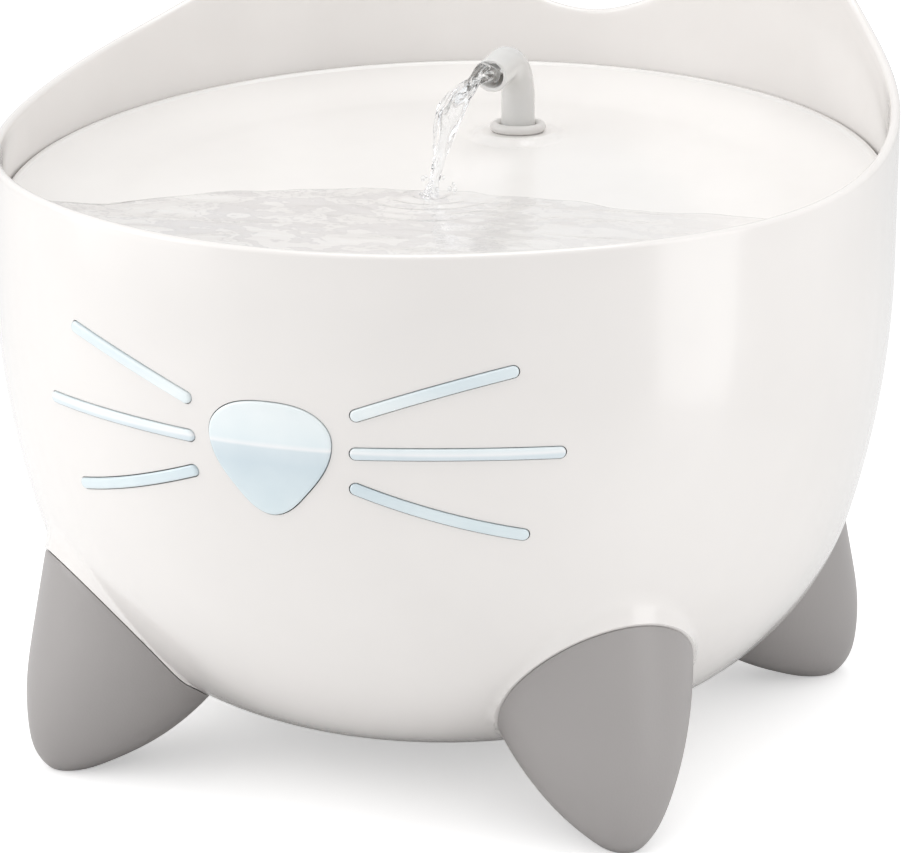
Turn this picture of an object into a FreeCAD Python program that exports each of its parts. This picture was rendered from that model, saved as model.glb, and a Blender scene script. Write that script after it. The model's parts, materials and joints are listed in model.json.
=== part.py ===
"""Pet water fountain: a footed bowl with ears, a lift-out drinking dish with a bent spout,
and a pump in a filter housing on the bowl's floor.

Millimetres. The origin is on the ground under the centre of the bowl, +Z up, face towards -Y.
Angles round the bowl are measured from the face, and grow towards +X.
"""
import FreeCAD, Part
import math
import os
import re
import Sketcher

os.makedirs("parts", exist_ok=True)
doc = FreeCAD.newDocument("pet_water_fountain")
Vec = FreeCAD.Vector
UP = Vec(0, 0, 1)

SIZES = {
    # bowl
    "bowl_radius": 121.0,
    "bowl_wall": 2.6,
    "bowl_bottom": 7.1,
    "belly_height": 132.0,
    "side_arc": 244.3,
    "corner_arc": 75.7,
    "base_arc": 389.0,
    "rim_front": 159.5,
    "rim_side": 163.3,
    "rim_rear": 176.3,
    "ear_height": 210.0,
    "lip_round": 1.1,
    "seat_top": 16.0,
    "seat_radius": 38.0,
    # legs and feet
    "front_foot_angle": 45.0,
    "rear_foot_angle": 125.0,
    "foot_arch": 60.0,
    "foot_arch_inset": 8.0,
    "foot_arch_slope": 1.2,
    "foot_gap": 0.2,
    "post_inset": 26.0,
    "post_radius": 5.0,
    "post_bottom": 19.0,
    "foot_seat": 3.0,
    "screw_radius": 2.0,
    "screw_length": 14.0,
    "screw_head_radius": 3.6,
    "screw_head": 3.0,
    "screw_clearance": 0.15,
    "screw_slot": 1.0,
    "screw_slot_depth": 1.4,
    # windows in the face
    "nose_width": 32.4,
    "nose_height": 29.7,
    "nose_top": 121.5,
    "whisker_width": 3.2,
    "window_proud": 0.8,
    "window_gap": 0.1,
    # drinking dish
    "dish_tilt": 4.6,
    "seam_height": 150.8,
    "dish_gap": 0.4,
    "dish_depth": 4.5,
    "dish_floor_radius": 96.0,
    "dish_skin": 2.4,
    "skirt_depth": 12.0,
    "front_lip": 148.0,
    "weir_height": 146.0,
    "weir_width": 14.0,
    "weir_step": 14.0,
    "weir_groove": 1.3,
    "ledge_width": 3.0,
    "ledge_depth": 3.0,
    "ledge_gap": 0.3,
    "ledge_opening": 22.0,
    # spout
    "spout_inset": 62.4,
    "spout_radius": 4.75,
    "spout_bore": 3.6,
    "spout_top": 178.0,
    "spout_bend": 12.0,
    "spout_turn": 98.0,
    "spout_reach": 9.0,
    "pad_rise": 0.9852,
    "pad_radius": 11.0,
    "grommet_radius": 8.0,
    "grommet_flange": 2.4,
    "grommet_neck": 6.2,
    "spout_fit": 0.05,
    "socket_bottom": 138.0,
    "socket_wall": 2.6,
    "neck_gap": 0.1,
    # riser
    "riser_radius": 6.0,
    "riser_bore": 5.0,
    "riser_bottom": 68.0,
    "riser_top": 142.7,
    # filter housing
    "housing_inset": 47.0,
    "housing_radius": 48.0,
    "housing_wall": 2.0,
    "housing_top": 92.0,
    "tray_bottom": 22.0,
    "tray_plate": 3.0,
    "tray_rim": 5.0,
    "tray_rim_wall": 1.7,
    "tray_chamfer": 3.6,
    "shelf_top": 76.0,
    "shelf_width": 3.0,
    "shelf_depth": 2.6,
    "intake_slot_width": 4.0,
    "intake_slot_bottom": 31.0,
    "intake_slot_height": 22.0,
    "intake_slots": 22.0,
    "part_gap": 0.3,
    "lid_plate": 2.5,
    "lid_spigot": 3.4,
    "lid_slot_width": 4.0,
    "lid_spoke": 5.0,
    "riser_clearance": 0.6,
    "cartridge_height": 12.0,
    "cartridge_wall": 1.8,
    "cartridge_gap": 0.5,
    "cartridge_floor": 1.2,
    "frame_window_width": 11.0,
    "frame_window_reach": 34.0,
    "frame_hub": 9.0,
    "foam_height": 4.6,
    "carbon_height": 5.0,
    "cup_ring": 26.0,
    "cup_radius": 9.0,
    "cup_hollow": 1.4,
    "cup_neck": 3.2,
    "cup_neck_gap": 0.1,
    # pump
    "pump_half_width": 20.0,
    "pump_inset": 101.0,
    "pump_top": 61.0,
    "pump_wall": 2.0,
    "rotor_height": 48.0,
    "well_bore": 6.6,
    "well_wall": 1.6,
    "well_depth": 24.0,
    "chamber_start": 30.0,
    "chamber_depth": 14.0,
    "chamber_radius": 17.0,
    "chamber_wall": 2.0,
    "nozzle_radius": 4.6,
    "nozzle_bore": 3.2,
    "nozzle_top": 76.0,
    "seal_height": 2.0,
    "seal_bottom": 72.0,
    "seal_fit": 0.05,
    "cap_plate": 2.0,
    "magnet_radius": 6.0,
    "impeller_radius": 12.5,
    "impeller_hub": 4.0,
    "impeller_blade": 1.4,
    "impeller_plate": 1.5,
    "impeller_length": 11.0,
    "impeller_blades": 6.0,
    "shaft_radius": 1.0,
    "shaft_fit": 0.05,
    "bush_radius": 3.0,
    "bush_length": 2.0,
    "end_play": 0.3,
    "cover_plate": 2.5,
    "cover_pin": 2.0,
    "intake_hole": 3.2,
    "intake_ring": 7.5,
    "dial_radius": 12.5,
    "dial_plate": 1.6,
    "dial_tab": 17.5,
    "dial_tab_width": 4.0,
    "dial_fit": 0.08,
    "core_start": 7.0,
    "core_length": 14.0,
    "core_half_width": 15.0,
    "core_bottom": 29.0,
    "core_leg": 7.0,
    "core_gap": 0.3,
    "coil_half_width": 9.0,
    "coil_thickness": 3.0,
    # lead and inlet
    "lead_radius": 2.25,
    "lead_height": 50.0,
    "lead_start": 12.0,
    "lead_fit": 0.1,
    "lead_clearance": 9.0,
    "inlet_drop": 16.294,
    "inlet_radius": 5.5,
    "inlet_flange": 8.2,
    "inlet_flange_depth": 1.2,
    "inlet_gap": 0.1,
    "inlet_length": 12.0,
    "jack_radius": 2.9,
    "jack_depth": 9.0,
    "jack_pin": 0.9,
    "seal_ring": 8.6,
    "inlet_seal": 1.4,
    "nut_flat": 15.0,
    "nut_height": 3.5,
}

# Places that follow from the sizes: what stands by the bowl's rear wall or by a foot moves with it.
DERIVED = {
    "foot_arch_reach": "(bowl_radius - foot_arch_inset)",
    "post_reach": "(bowl_radius - post_inset)",
    "spout_back": "(bowl_radius - spout_inset)",
    "housing_back": "(bowl_radius - housing_inset - housing_radius)",
    "dish_radius": "(bowl_radius - bowl_wall - dish_gap)",
    "pad_top": "(seam_height + spout_back * tan(dish_tilt * 1 deg) - dish_depth + pad_rise)",
    "inlet_height": "(seam_height + dish_radius * tan(dish_tilt * 1 deg) - skirt_depth - inlet_drop)",
    "pump_front": "(bowl_radius - pump_inset)",
    "chamber_front": "(pump_front + chamber_start)",
    "core_front": "(pump_front + core_start)",
    "lead_back": "(pump_front + lead_start)",
}

sheet = doc.addObject("Spreadsheet::Sheet", "dim")
for row, (alias, value) in enumerate(SIZES.items(), start=1):
    sheet.set(f"A{row}", alias)
    sheet.set(f"B{row}", str(value))
    sheet.setAlias(f"B{row}", alias)
doc.recompute()


def cell(text):
    """The expression with each size's name pointing at its cell, and each derived place written out."""
    def pointed(found):
        name = found[0]
        if name in DERIVED:
            return cell(DERIVED[name])
        return "dim." + name if name in SIZES else name

    return re.sub(r"[a-z][a-z_0-9]*", pointed, text)


def num(text):
    """The number that an expression of sizes has now."""
    return float(sheet.evalExpression(cell(text)))


def place(obj, at, turn=None):
    """Puts obj at three expressions, turned first about an axis by an angle."""
    if turn:
        obj.Placement.Rotation = FreeCAD.Rotation(*turn)
    for axis, text in zip("xyz", at):
        obj.setExpression(f"Placement.Base.{axis}", cell(text))
    return obj


ALONG_Y = (Vec(1, 0, 0), -90)
GROUND = ("0", "0", "0")


def bound(kind, name, at=GROUND, turn=None, **sizes):
    """A Part primitive whose sizes follow the sheet."""
    obj = doc.addObject(kind, name)
    for prop, text in sizes.items():
        obj.setExpression(prop, cell(text))
    return place(obj, at, turn)


def cylinder(name, radius, height, at=GROUND, turn=None):
    return bound("Part::Cylinder", name, at, turn, Radius=radius, Height=height)


def block(name, length, width, height, at=GROUND):
    return bound("Part::Box", name, at, Length=length, Width=width, Height=height)


def joined(name, *parts):
    obj = doc.addObject("Part::MultiFuse", name)
    obj.Shapes = list(parts)
    return obj


def without(name, base, *tools):
    obj = doc.addObject("Part::Cut", name)
    obj.Base = base
    obj.Tool = tools[0] if len(tools) == 1 else joined(name + "_tools", *tools)
    return obj


def turned(name, outline, at=GROUND, turn=None):
    """A body of revolution about its own Z axis, from an outline of radius and height expressions."""
    body = doc.addObject("PartDesign::Body", name)
    sketch = body.newObject("Sketcher::SketchObject", name + "_outline")
    plane = next(f for f in body.Origin.OriginFeatures if f.Role == "XZ_Plane")
    sketch.AttachmentSupport = (plane, [""])
    sketch.MapMode = "FlatFace"
    points = [Vec(num(radius), num(height), 0) for radius, height in outline]
    for start, end in zip(points, points[1:] + points[:1]):
        sketch.addGeometry(Part.LineSegment(start, end), False)
    for index in range(len(points)):
        sketch.addConstraint(Sketcher.Constraint("Coincident", index, 2, (index + 1) % len(points), 1))
    for index, (point, texts) in enumerate(zip(points, outline)):
        sides = (("DistanceX", -2, point.x, texts[0]), ("DistanceY", -1, point.y, texts[1]))
        for kind, axis, number, text in sides:
            if text == "0":
                sketch.addConstraint(Sketcher.Constraint("PointOnObject", index, 1, axis))
                continue
            made = sketch.addConstraint(Sketcher.Constraint(kind, -1, 1, index, 1, number))
            sketch.setExpression(f"Constraints[{made}]", cell(text))
    doc.recompute()
    revolution = body.newObject("PartDesign::Revolution", name + "_revolution")
    revolution.Profile = sketch
    revolution.ReferenceAxis = (sketch, ["V_Axis"])
    revolution.Angle = 360
    return place(body, at, turn)


def shaped(name, shape):
    """A piece whose shape is set in code, from the sizes in the sheet."""
    obj = doc.addObject("Part::Feature", name)
    obj.Shape = shape
    return obj


def polar(radius, angle, height=0.0):
    """The point at a radius and an angle round the bowl."""
    turn = math.radians(angle)
    return Vec(radius * math.sin(turn), -radius * math.cos(turn), height)


# Bowl

def bowl_solid(offset, top):
    """The bowl's outside as a filled solid, moved inwards by offset, up to a height."""
    radius = num("bowl_radius")
    side, corner, base = num("side_arc"), num("corner_arc"), num("base_arc")
    side_centre = Vec(radius - side, 0, num("belly_height"))
    base_centre = Vec(0, 0, num("bowl_bottom") + base)
    apart = base_centre - side_centre
    near, far = side - corner, base - corner
    along = (near ** 2 - far ** 2 + apart.Length ** 2) / (2 * apart.Length)
    across = math.sqrt(near ** 2 - along ** 2)
    unit = apart / apart.Length
    corner_centre = side_centre + unit * along + Vec(unit.z, 0, -unit.x) * across

    def on_arc(centre, arc_radius, angle):
        reach = arc_radius - offset
        return centre + Vec(math.cos(angle), 0, math.sin(angle)) * reach

    def heading(start, end):
        return math.atan2(end.z - start.z, end.x - start.x)

    side_turn = heading(side_centre, corner_centre)
    base_turn = heading(base_centre, corner_centre)
    bottom = on_arc(base_centre, base, -math.pi / 2)
    low = on_arc(corner_centre, corner, base_turn)
    high = on_arc(corner_centre, corner, side_turn)
    belly = on_arc(side_centre, side, 0)
    edges = [
        Part.Arc(bottom, on_arc(base_centre, base, (base_turn - math.pi / 2) / 2), low).toShape(),
        Part.Arc(low, on_arc(corner_centre, corner, (base_turn + side_turn) / 2), high).toShape(),
        Part.Arc(high, on_arc(side_centre, side, side_turn / 2), belly).toShape(),
        Part.makeLine(belly, Vec(belly.x, 0, top)),
        Part.makeLine(Vec(belly.x, 0, top), Vec(0, 0, top)),
        Part.makeLine(Vec(0, 0, top), bottom),
    ]
    return Part.Face(Part.Wire(edges)).revolve(Vec(0, 0, 0), UP, 360)


# The rim's height round the bowl: angle, and share of the way up from the front rim to the side rim,
# from the side rim to the ear's tip, then from the rear dip to the tip.
FRONT_SWEEP = ((0, 0.0), (40, 0.29), (78, 1.0))
OUTER_FLANK = ((105, 0.207), (120, 0.40), (130, 0.604), (142, 0.93), (147.5, 1.0))
INNER_FLANK = ((153, 0.885), (160, 0.60), (167, 0.27), (173, 0.085), (180, 0.0))
SPARE = 30.0


def rim_points():
    front, side, tip, rear = num("rim_front"), num("rim_side"), num("ear_height"), num("rim_rear")
    points = [(angle, front + share * (side - front)) for angle, share in FRONT_SWEEP]
    points += [(angle, side + share * (tip - side)) for angle, share in OUTER_FLANK]
    points += [(angle, rear + share * (tip - rear)) for angle, share in INNER_FLANK]
    return points


def above_rim():
    """Everything above the rim's line, as a solid to cut away."""
    half = rim_points()
    ring = half + [(360 - angle, height) for angle, height in reversed(half[1:-1])]
    knots = [angle for angle, _ in ring] + [360]
    curves = []
    for radius in (num("bowl_radius") - SPARE, num("bowl_radius") + SPARE):
        curve = Part.BSplineCurve()
        curve.interpolate(Points=[polar(radius, *point) for point in ring], PeriodicFlag=True,
                          Parameters=knots)
        curves.append(curve.toShape())
    return Part.makeRuledSurface(*curves).extrude(UP * (num("ear_height") + SPARE))


# A leg's level sections: height, how far its outer and its inner side stand in from the bowl's radius,
# and half width.
LEG_SECTIONS = (
    (0.0, 6.5, 16.5, 4.0), (2.0, 3.7, 25.0, 7.6), (6.0, 1.4, 35.0, 11.8), (14.0, 0.2, 47.0, 17.6),
    (26.0, 0.8, 57.0, 23.4), (40.0, 3.6, 61.0, 27.0), (52.0, 6.1, 61.0, 27.6), (60.0, 7.8, 59.0, 26.4),
    (70.0, 10.6, 55.0, 22.0),
)
SECTION_POINTS = 16


def leg_solid():
    """A leg that points along +X, as a loft of rounded sections."""
    wires = []
    for height, outer, inner, half_width in LEG_SECTIONS:
        middle, reach = num("bowl_radius") - (outer + inner) / 2, (inner - outer) / 2
        turns = [2 * math.pi * step / SECTION_POINTS for step in range(SECTION_POINTS)]
        points = [Vec(middle + reach * math.cos(turn), half_width * math.sin(turn), height) for turn in turns]
        curve = Part.BSplineCurve()
        curve.interpolate(Points=points, PeriodicFlag=True)
        wires.append(Part.Wire(curve.toShape()))
    return Part.makeLoft(wires, True, False)


def above_arch():
    """The half space above the sloping plane that parts a leg's boss from its foot, for a leg along +X."""
    slope = math.degrees(math.atan(num("foot_arch_slope")))
    reach = 2 * num("bowl_radius")
    slab = Part.makeBox(2 * reach, 2 * reach, reach, Vec(-reach, -reach, 0))
    slab.rotate(Vec(0, 0, 0), Vec(0, 1, 0), -slope)
    slab.translate(Vec(num("foot_arch_reach"), 0, num("foot_arch")))
    return slab


FEET = {
    "foot_front_left": "-front_foot_angle", "foot_front_right": "front_foot_angle",
    "foot_rear_left": "-rear_foot_angle", "foot_rear_right": "rear_foot_angle",
}


def at_foot(shape, foot):
    """The shape made for a leg along +X, turned to a foot's angle."""
    moved = shape.copy()
    moved.rotate(Vec(0, 0, 0), UP, num(FEET[foot]) - 90)
    return moved


def upright(radius, low, high, reach):
    return Part.makeCylinder(radius, high - low, Vec(reach, 0, low))


# Windows

NOSE_OUTLINE = ((0.0, 1.0), (0.43, 0.98), (0.78, 0.90), (0.975, 0.765), (0.98, 0.58), (0.81, 0.377),
                (0.545, 0.195), (0.26, 0.047), (0.0, 0.0))
WHISKERS = {
    "upper": ((10.0, 119.2), (29.4, 131.4), 0.7),
    "middle": ((9.9, 109.8), (35.0, 109.8), 0.4),
    "lower": ((9.9, 101.0), (30.7, 88.0), -0.7),
}
SIDES = {"left": -1, "right": 1}


def nose_prism(inset):
    """The nose's outline, drawn in by inset, as a prism through the front of the wall."""
    half_width, height = num("nose_width") / 2 - inset, num("nose_height") - 2 * inset
    top = num("nose_top") - inset
    half = [(half_width * across, top - height * (1 - up)) for across, up in NOSE_OUTLINE]
    outline = half + [(-x, z) for x, z in reversed(half[1:-1])]
    curve = Part.BSplineCurve()
    curve.interpolate(Points=[Vec(x, -num("bowl_radius") - SPARE, z) for x, z in outline], PeriodicFlag=True)
    return Part.Face(Part.Wire(curve.toShape())).extrude(Vec(0, 2 * SPARE, 0))


def whisker_prism(side, row, inset):
    """A whisker's slot, with round ends and a slight bow, as a prism through the wall."""
    (start, start_height), (end, end_height), bow = WHISKERS[row]
    middle = (start + end) / 2
    radius, half = num("bowl_radius"), num("whisker_width") / 2
    across = radius * math.sin(math.radians((end - start) / 2))
    inner, outer = Vec(-across, 0, start_height), Vec(across, 0, end_height)
    along = (outer - inner).normalize()
    normal = Vec(-along.z, 0, along.x)
    inner, outer = inner + along * half, outer - along * half
    centre = (inner + outer) / 2 + normal * bow
    reach = half - inset
    upper = [inner + normal * reach, centre + normal * reach, outer + normal * reach]
    lower = [outer - normal * reach, centre - normal * reach, inner - normal * reach]
    edges = [
        Part.Arc(*upper).toShape(),
        Part.Arc(upper[2], outer + along * reach, lower[0]).toShape(),
        Part.Arc(*lower).toShape(),
        Part.Arc(lower[2], inner - along * reach, upper[0]).toShape(),
    ]
    prism = Part.Face(Part.Wire(edges)).extrude(Vec(0, 2 * SPARE, 0))
    prism.translate(Vec(0, -radius - SPARE, 0))
    if side < 0:
        prism = prism.mirror(Vec(0, 0, 0), Vec(1, 0, 0))
    prism.rotate(Vec(0, 0, 0), UP, side * middle)
    return prism


WINDOWS = {"nose_window": nose_prism}
for side_name, sign in SIDES.items():
    for row_name in WHISKERS:
        WINDOWS[f"whisker_{side_name}_{row_name}"] = (
            lambda inset, sign=sign, row_name=row_name: whisker_prism(sign, row_name, inset))


def edges_on(shape, radius, low):
    """The edges of a shape whose middle lies outside a radius and above a height."""
    found = []
    for edge in shape.Edges:
        middle = edge.valueAt((edge.FirstParameter + edge.LastParameter) / 2)
        if math.hypot(middle.x, middle.y) > radius and middle.z > low:
            found.append(edge)
    return found


def window(name):
    """A clear insert that fills its opening and stands a little proud of the wall."""
    tall = num("ear_height")
    skin = bowl_solid(-num("window_proud"), tall).cut(bowl_solid(num("bowl_wall"), tall))
    return WINDOWS[name](num("window_gap")).common(skin).Solids[0]


# Tilted planes of the drinking dish

def tilted(shape):
    """A shape made about the seam plane at the origin, tilted to the front and raised to the seam."""
    moved = shape.copy()
    moved.rotate(Vec(0, 0, 0), Vec(1, 0, 0), num("dish_tilt"))
    moved.translate(Vec(0, 0, num("seam_height")))
    return moved


def ring(outer, inner, low, high):
    hole = Part.makeCylinder(inner, high - low, Vec(0, 0, low))
    return Part.makeCylinder(outer, high - low, Vec(0, 0, low)).cut(hole)


def sector(half_angle, reach, low, high):
    """A wedge about the front, between two heights."""
    wedge = Part.makeCylinder(reach, high - low, Vec(0, 0, low), UP, 2 * half_angle)
    wedge.rotate(Vec(0, 0, 0), UP, -90 - half_angle)
    return wedge


def dish_ledge():
    """The ledge inside the bowl that carries the dish's skirt, open at the front for the overflow."""
    inner = num("bowl_radius - bowl_wall")
    top = num("-skirt_depth - ledge_gap")
    slab = tilted(Part.makeCylinder(inner + SPARE, num("ledge_depth"), Vec(0, 0, top - num("ledge_depth"))))
    band = ring(inner + num("bowl_wall") / 2, inner - num("ledge_width"), 0, num("ear_height"))
    front = sector(num("ledge_opening"), inner - 0.01, 0, num("ear_height"))
    return slab.common(band).cut(front)


def reservoir():
    tall = num("ear_height") + SPARE / 2
    outside = bowl_solid(0, tall)
    leg = leg_solid()
    boss = leg.common(above_arch())
    post = upright(num("post_radius"), num("post_bottom"), num("post_bottom") + SPARE, num("post_reach"))
    shell = outside.fuse([at_foot(part, foot) for foot in FEET for part in (boss, post)])
    shell = shell.cut(bowl_solid(num("bowl_wall"), tall)).cut(above_rim())
    lip = edges_on(shell, num("bowl_radius - 2 * bowl_wall"), num("rim_front") - 1)
    shell = shell.makeFillet(num("lip_round"), lip)
    seat = Part.makeCylinder(num("seat_radius"), num("seat_top"), Vec(0, num("housing_back"), 0))
    shell = shell.fuse([seat.common(outside), dish_ledge()])
    pilot = upright(num("screw_radius + screw_clearance"), 0, num("post_bottom") + num("screw_length - 2"),
                    num("post_reach"))
    holes = [at_foot(pilot, foot) for foot in FEET]
    holes += [prism(0) for prism in WINDOWS.values()]
    height, to_back = num("inlet_height"), Vec(0, 1, 0)
    holes.append(Part.makeCylinder(num("inlet_radius + inlet_gap"), SPARE,
                                   Vec(0, num("bowl_radius - inlet_length"), height), to_back))
    holes.append(Part.makeCylinder(num("inlet_flange + inlet_gap"), SPARE,
                                   Vec(0, num("bowl_radius - inlet_flange_depth - inlet_gap"), height),
                                   to_back))
    return shell.cut(holes)


def foot_solid():
    """A foot for a leg along +X: the leg below its arch, hollowed for the post and its screw."""
    tall = num("ear_height")
    seat_low = num("post_bottom - foot_seat")
    reach = num("post_reach")
    tools = [above_arch(), bowl_solid(-num("foot_gap"), tall)]
    tools.append(upright(num("post_radius + foot_gap"), num("post_bottom"), 2 * SPARE, reach))
    tools.append(upright(num("screw_radius + screw_clearance"), 0, 2 * SPARE, reach))
    tools.append(upright(num("screw_head_radius + 1"), -1, seat_low, reach))
    return max(leg_solid().cut(tools).Solids, key=lambda solid: solid.Volume)


def screw_solid():
    seat_low = num("post_bottom - foot_seat")
    head = upright(num("screw_head_radius"), seat_low - num("screw_head"), seat_low, num("post_reach"))
    shank = upright(num("screw_radius"), seat_low, seat_low + num("screw_length"), num("post_reach"))
    wide, long, deep = num("screw_slot"), num("1.4 * screw_head_radius"), num("screw_slot_depth")
    corner = Vec(num("post_reach"), 0, seat_low - num("screw_head"))
    slot = Part.makeBox(long, wide, deep, corner - Vec(long, wide, 0) / 2)
    cross = Part.makeBox(wide, long, deep, corner - Vec(wide, long, 0) / 2)
    return head.fuse(shank).cut([slot, cross])


def revolved(points):
    """A solid of revolution about Z from radius and height numbers."""
    wire = Part.makePolygon([Vec(radius, 0, height) for radius, height in points + points[:1]])
    return Part.Face(wire).revolve(Vec(0, 0, 0), UP, 360)


def drinking_dish():
    """A shallow dish, tilted down to the front, with a skirt, a level front lip and overflow notches."""
    radius = num("dish_radius")
    floor, flat, skin = -num("dish_depth"), num("dish_floor_radius"), num("dish_skin")
    slope = (0 - floor) / (radius - flat)
    beyond = radius + SPARE
    edge = slope * SPARE
    hollow = tilted(revolved([(0, floor), (flat, floor), (beyond, edge), (beyond, 3 * SPARE),
                              (0, 3 * SPARE)]))
    under = tilted(revolved([(0, floor - skin), (flat, floor - skin), (beyond, edge - skin),
                             (beyond, -3 * SPARE), (0, -3 * SPARE)]))
    below = tilted(Part.makeCylinder(beyond, 3 * SPARE, Vec(0, 0, -num("skirt_depth") - 3 * SPARE)))
    blank = Part.makeCylinder(radius, 3 * SPARE, Vec(0, 0, num("seam_height") - 2 * SPARE))
    inside = Part.makeCylinder(radius - skin, num("ear_height"))
    dish = blank.cut(hollow).cut(under.common(inside)).cut(below)
    lip = ring(radius, radius - skin, num("seam_height") - 2 * SPARE, num("front_lip")).cut(below)
    back, bore = num("spout_back"), num("grommet_neck + neck_gap")
    pad = Part.makeCylinder(num("pad_radius"), num("pad_top") - num("seam_height") + SPARE / 6,
                            Vec(0, back, num("seam_height") - SPARE / 6))
    socket = Part.makeCylinder(bore + num("socket_wall"), num("pad_top - socket_bottom"),
                               Vec(0, back, num("socket_bottom")))
    dish = dish.fuse([lip, pad, socket])
    tools = [Part.makeCylinder(bore, 2 * SPARE, Vec(0, back, num("socket_bottom") - 1))]
    wide, reach = num("weir_width"), num("weir_groove")
    for turn in (-num("weir_step"), 0, num("weir_step")):
        notch = Part.makeBox(wide, 2 * SPARE, SPARE, Vec(-wide / 2, -radius - SPARE, num("weir_height")))
        groove = Part.makeBox(wide, reach + SPARE, 2 * SPARE,
                              Vec(-wide / 2, -radius - SPARE, num("weir_height") - 2 * SPARE + 0.01))
        for tool in (notch, groove):
            tool.rotate(Vec(0, 0, 0), UP, turn)
            tools.append(tool)
    return dish.cut(tools)


def pipe(path, radius, start, heading):
    """A round bar swept along a path."""
    section = Part.Wire(Part.makeCircle(radius, start, heading))
    return path.makePipeShell([section], True, True)


def spout():
    """A tube that rises from the grommet, bends over to the front and ends in an open mouth."""
    back, bend, radius = num("spout_back"), num("spout_bend"), num("spout_radius")
    low = num("riser_top + part_gap")
    springing = num("spout_top") - radius - bend
    centre = Vec(0, back - bend, springing)
    turn = math.radians(num("spout_turn"))

    def on_bend(angle):
        return centre + Vec(0, math.cos(angle), math.sin(angle)) * bend

    foot, end = Vec(0, back, low), on_bend(turn)
    ahead = Vec(0, -math.sin(turn), math.cos(turn))
    rise = Part.makeLine(foot, on_bend(0))
    curve = Part.Arc(on_bend(0), on_bend(turn / 2), end).toShape()
    mouth = Part.makeLine(end, end + ahead * num("spout_reach"))
    path = Part.Wire([rise, curve, mouth])
    tube = pipe(path, radius, foot, UP).cut(pipe(path, num("spout_bore"), foot, UP))
    ends = [edge for edge in tube.Edges if edge.Closed and
            abs((edge.CenterOfMass - (end + ahead * num("spout_reach"))).Length) < 0.1]
    return tube.makeFillet((radius - num("spout_bore")) * 0.4, ends)


# Lead from the pump to the inlet: its points between the straight way out of the housing and the straight
# way into the inlet, as angle round the bowl, distance in from the bowl's radius and height.
LEAD_POINTS = ((121, 33.5, 62), (128.5, 15, 86), (141, 12.9, 110), (153, 24.0, 125), (161.5, 37.5, 132))


def lead():
    """The cable from the pump's side to the back of the inlet: straight runs joined by tangent arcs."""
    radius, back, height = num("bowl_radius"), num("lead_back"), num("inlet_height")
    start = Vec(num("pump_half_width - pump_wall"), back, num("lead_height"))
    out = Vec(num("housing_radius + 2 * lead_radius"), back, num("lead_height"))
    into = Vec(0, num("housing_back + housing_radius + lead_clearance"), height)
    end = Vec(0, num("bowl_radius - inlet_length"), height)
    between = [polar(radius - inset, angle, at) for angle, inset, at in LEAD_POINTS]
    points = [start, out, *between, into, end]
    edges, here = [], start
    for before, point, after in zip(points, points[1:], points[2:]):
        come, leave = (point - before), (after - point)
        half_turn = come.getAngle(leave) / 2
        setback = 0.45 * min(come.Length, leave.Length)
        bend = setback / math.tan(half_turn)
        come.normalize()
        leave.normalize()
        first, last = point - come * setback, point + leave * setback
        inwards = (leave - come).normalize()
        middle = point + inwards * (bend / math.cos(half_turn) - bend)
        edges += [Part.makeLine(here, first), Part.Arc(first, middle, last).toShape()]
        print(f"lead arc radius {bend:.1f}")
        here = last
    edges.append(Part.makeLine(here, end))
    length = sum(edge.Length for edge in edges)
    tube = pipe(Part.Wire(edges), num("lead_radius"), start, out - start)
    full = math.pi * num("lead_radius") ** 2 * length
    print(f"lead length {length:.1f}, volume ratio {tube.Volume / full:.4f}")
    return tube


nodes = {}
nodes["reservoir"] = shaped("reservoir", reservoir())
for foot in FEET:
    nodes[foot] = shaped(foot, at_foot(foot_solid(), foot))
nodes["foot_screws"] = shaped("foot_screws",
                              Part.makeCompound([at_foot(screw_solid(), foot) for foot in FEET]))
for name in WINDOWS:
    nodes[name] = shaped(name, window(name))
nodes["drinking_dish"] = shaped("drinking_dish", drinking_dish())
nodes["spout"] = shaped("spout", spout())
nodes["pump_lead"] = shaped("pump_lead", lead())

# Grommet and riser under the spout
SPOUT_AXIS = ("0", "spout_back", "0")
nodes["spout_grommet"] = turned("spout_grommet", (
    ("spout_radius + spout_fit", "pad_top - dish_skin - grommet_flange"),
    ("grommet_neck", "pad_top - dish_skin - grommet_flange"),
    ("grommet_neck", "pad_top"),
    ("grommet_radius", "pad_top"),
    ("grommet_radius", "pad_top + grommet_flange / 2"),
    ("grommet_radius - grommet_flange / 2", "pad_top + grommet_flange"),
    ("spout_radius + spout_fit", "pad_top + grommet_flange"),
), SPOUT_AXIS)
nodes["riser_tube"] = turned("riser_tube", (
    ("riser_bore", "riser_bottom"), ("riser_radius", "riser_bottom"),
    ("riser_radius", "riser_top"), ("riser_bore", "riser_top"),
), SPOUT_AXIS)
nodes["outlet_seal"] = turned("outlet_seal", (
    ("nozzle_radius", "seal_bottom"), ("riser_bore - seal_fit", "seal_bottom"),
    ("riser_bore - seal_fit", "seal_bottom + seal_height"), ("nozzle_radius", "seal_bottom + seal_height"),
), SPOUT_AXIS)

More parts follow.
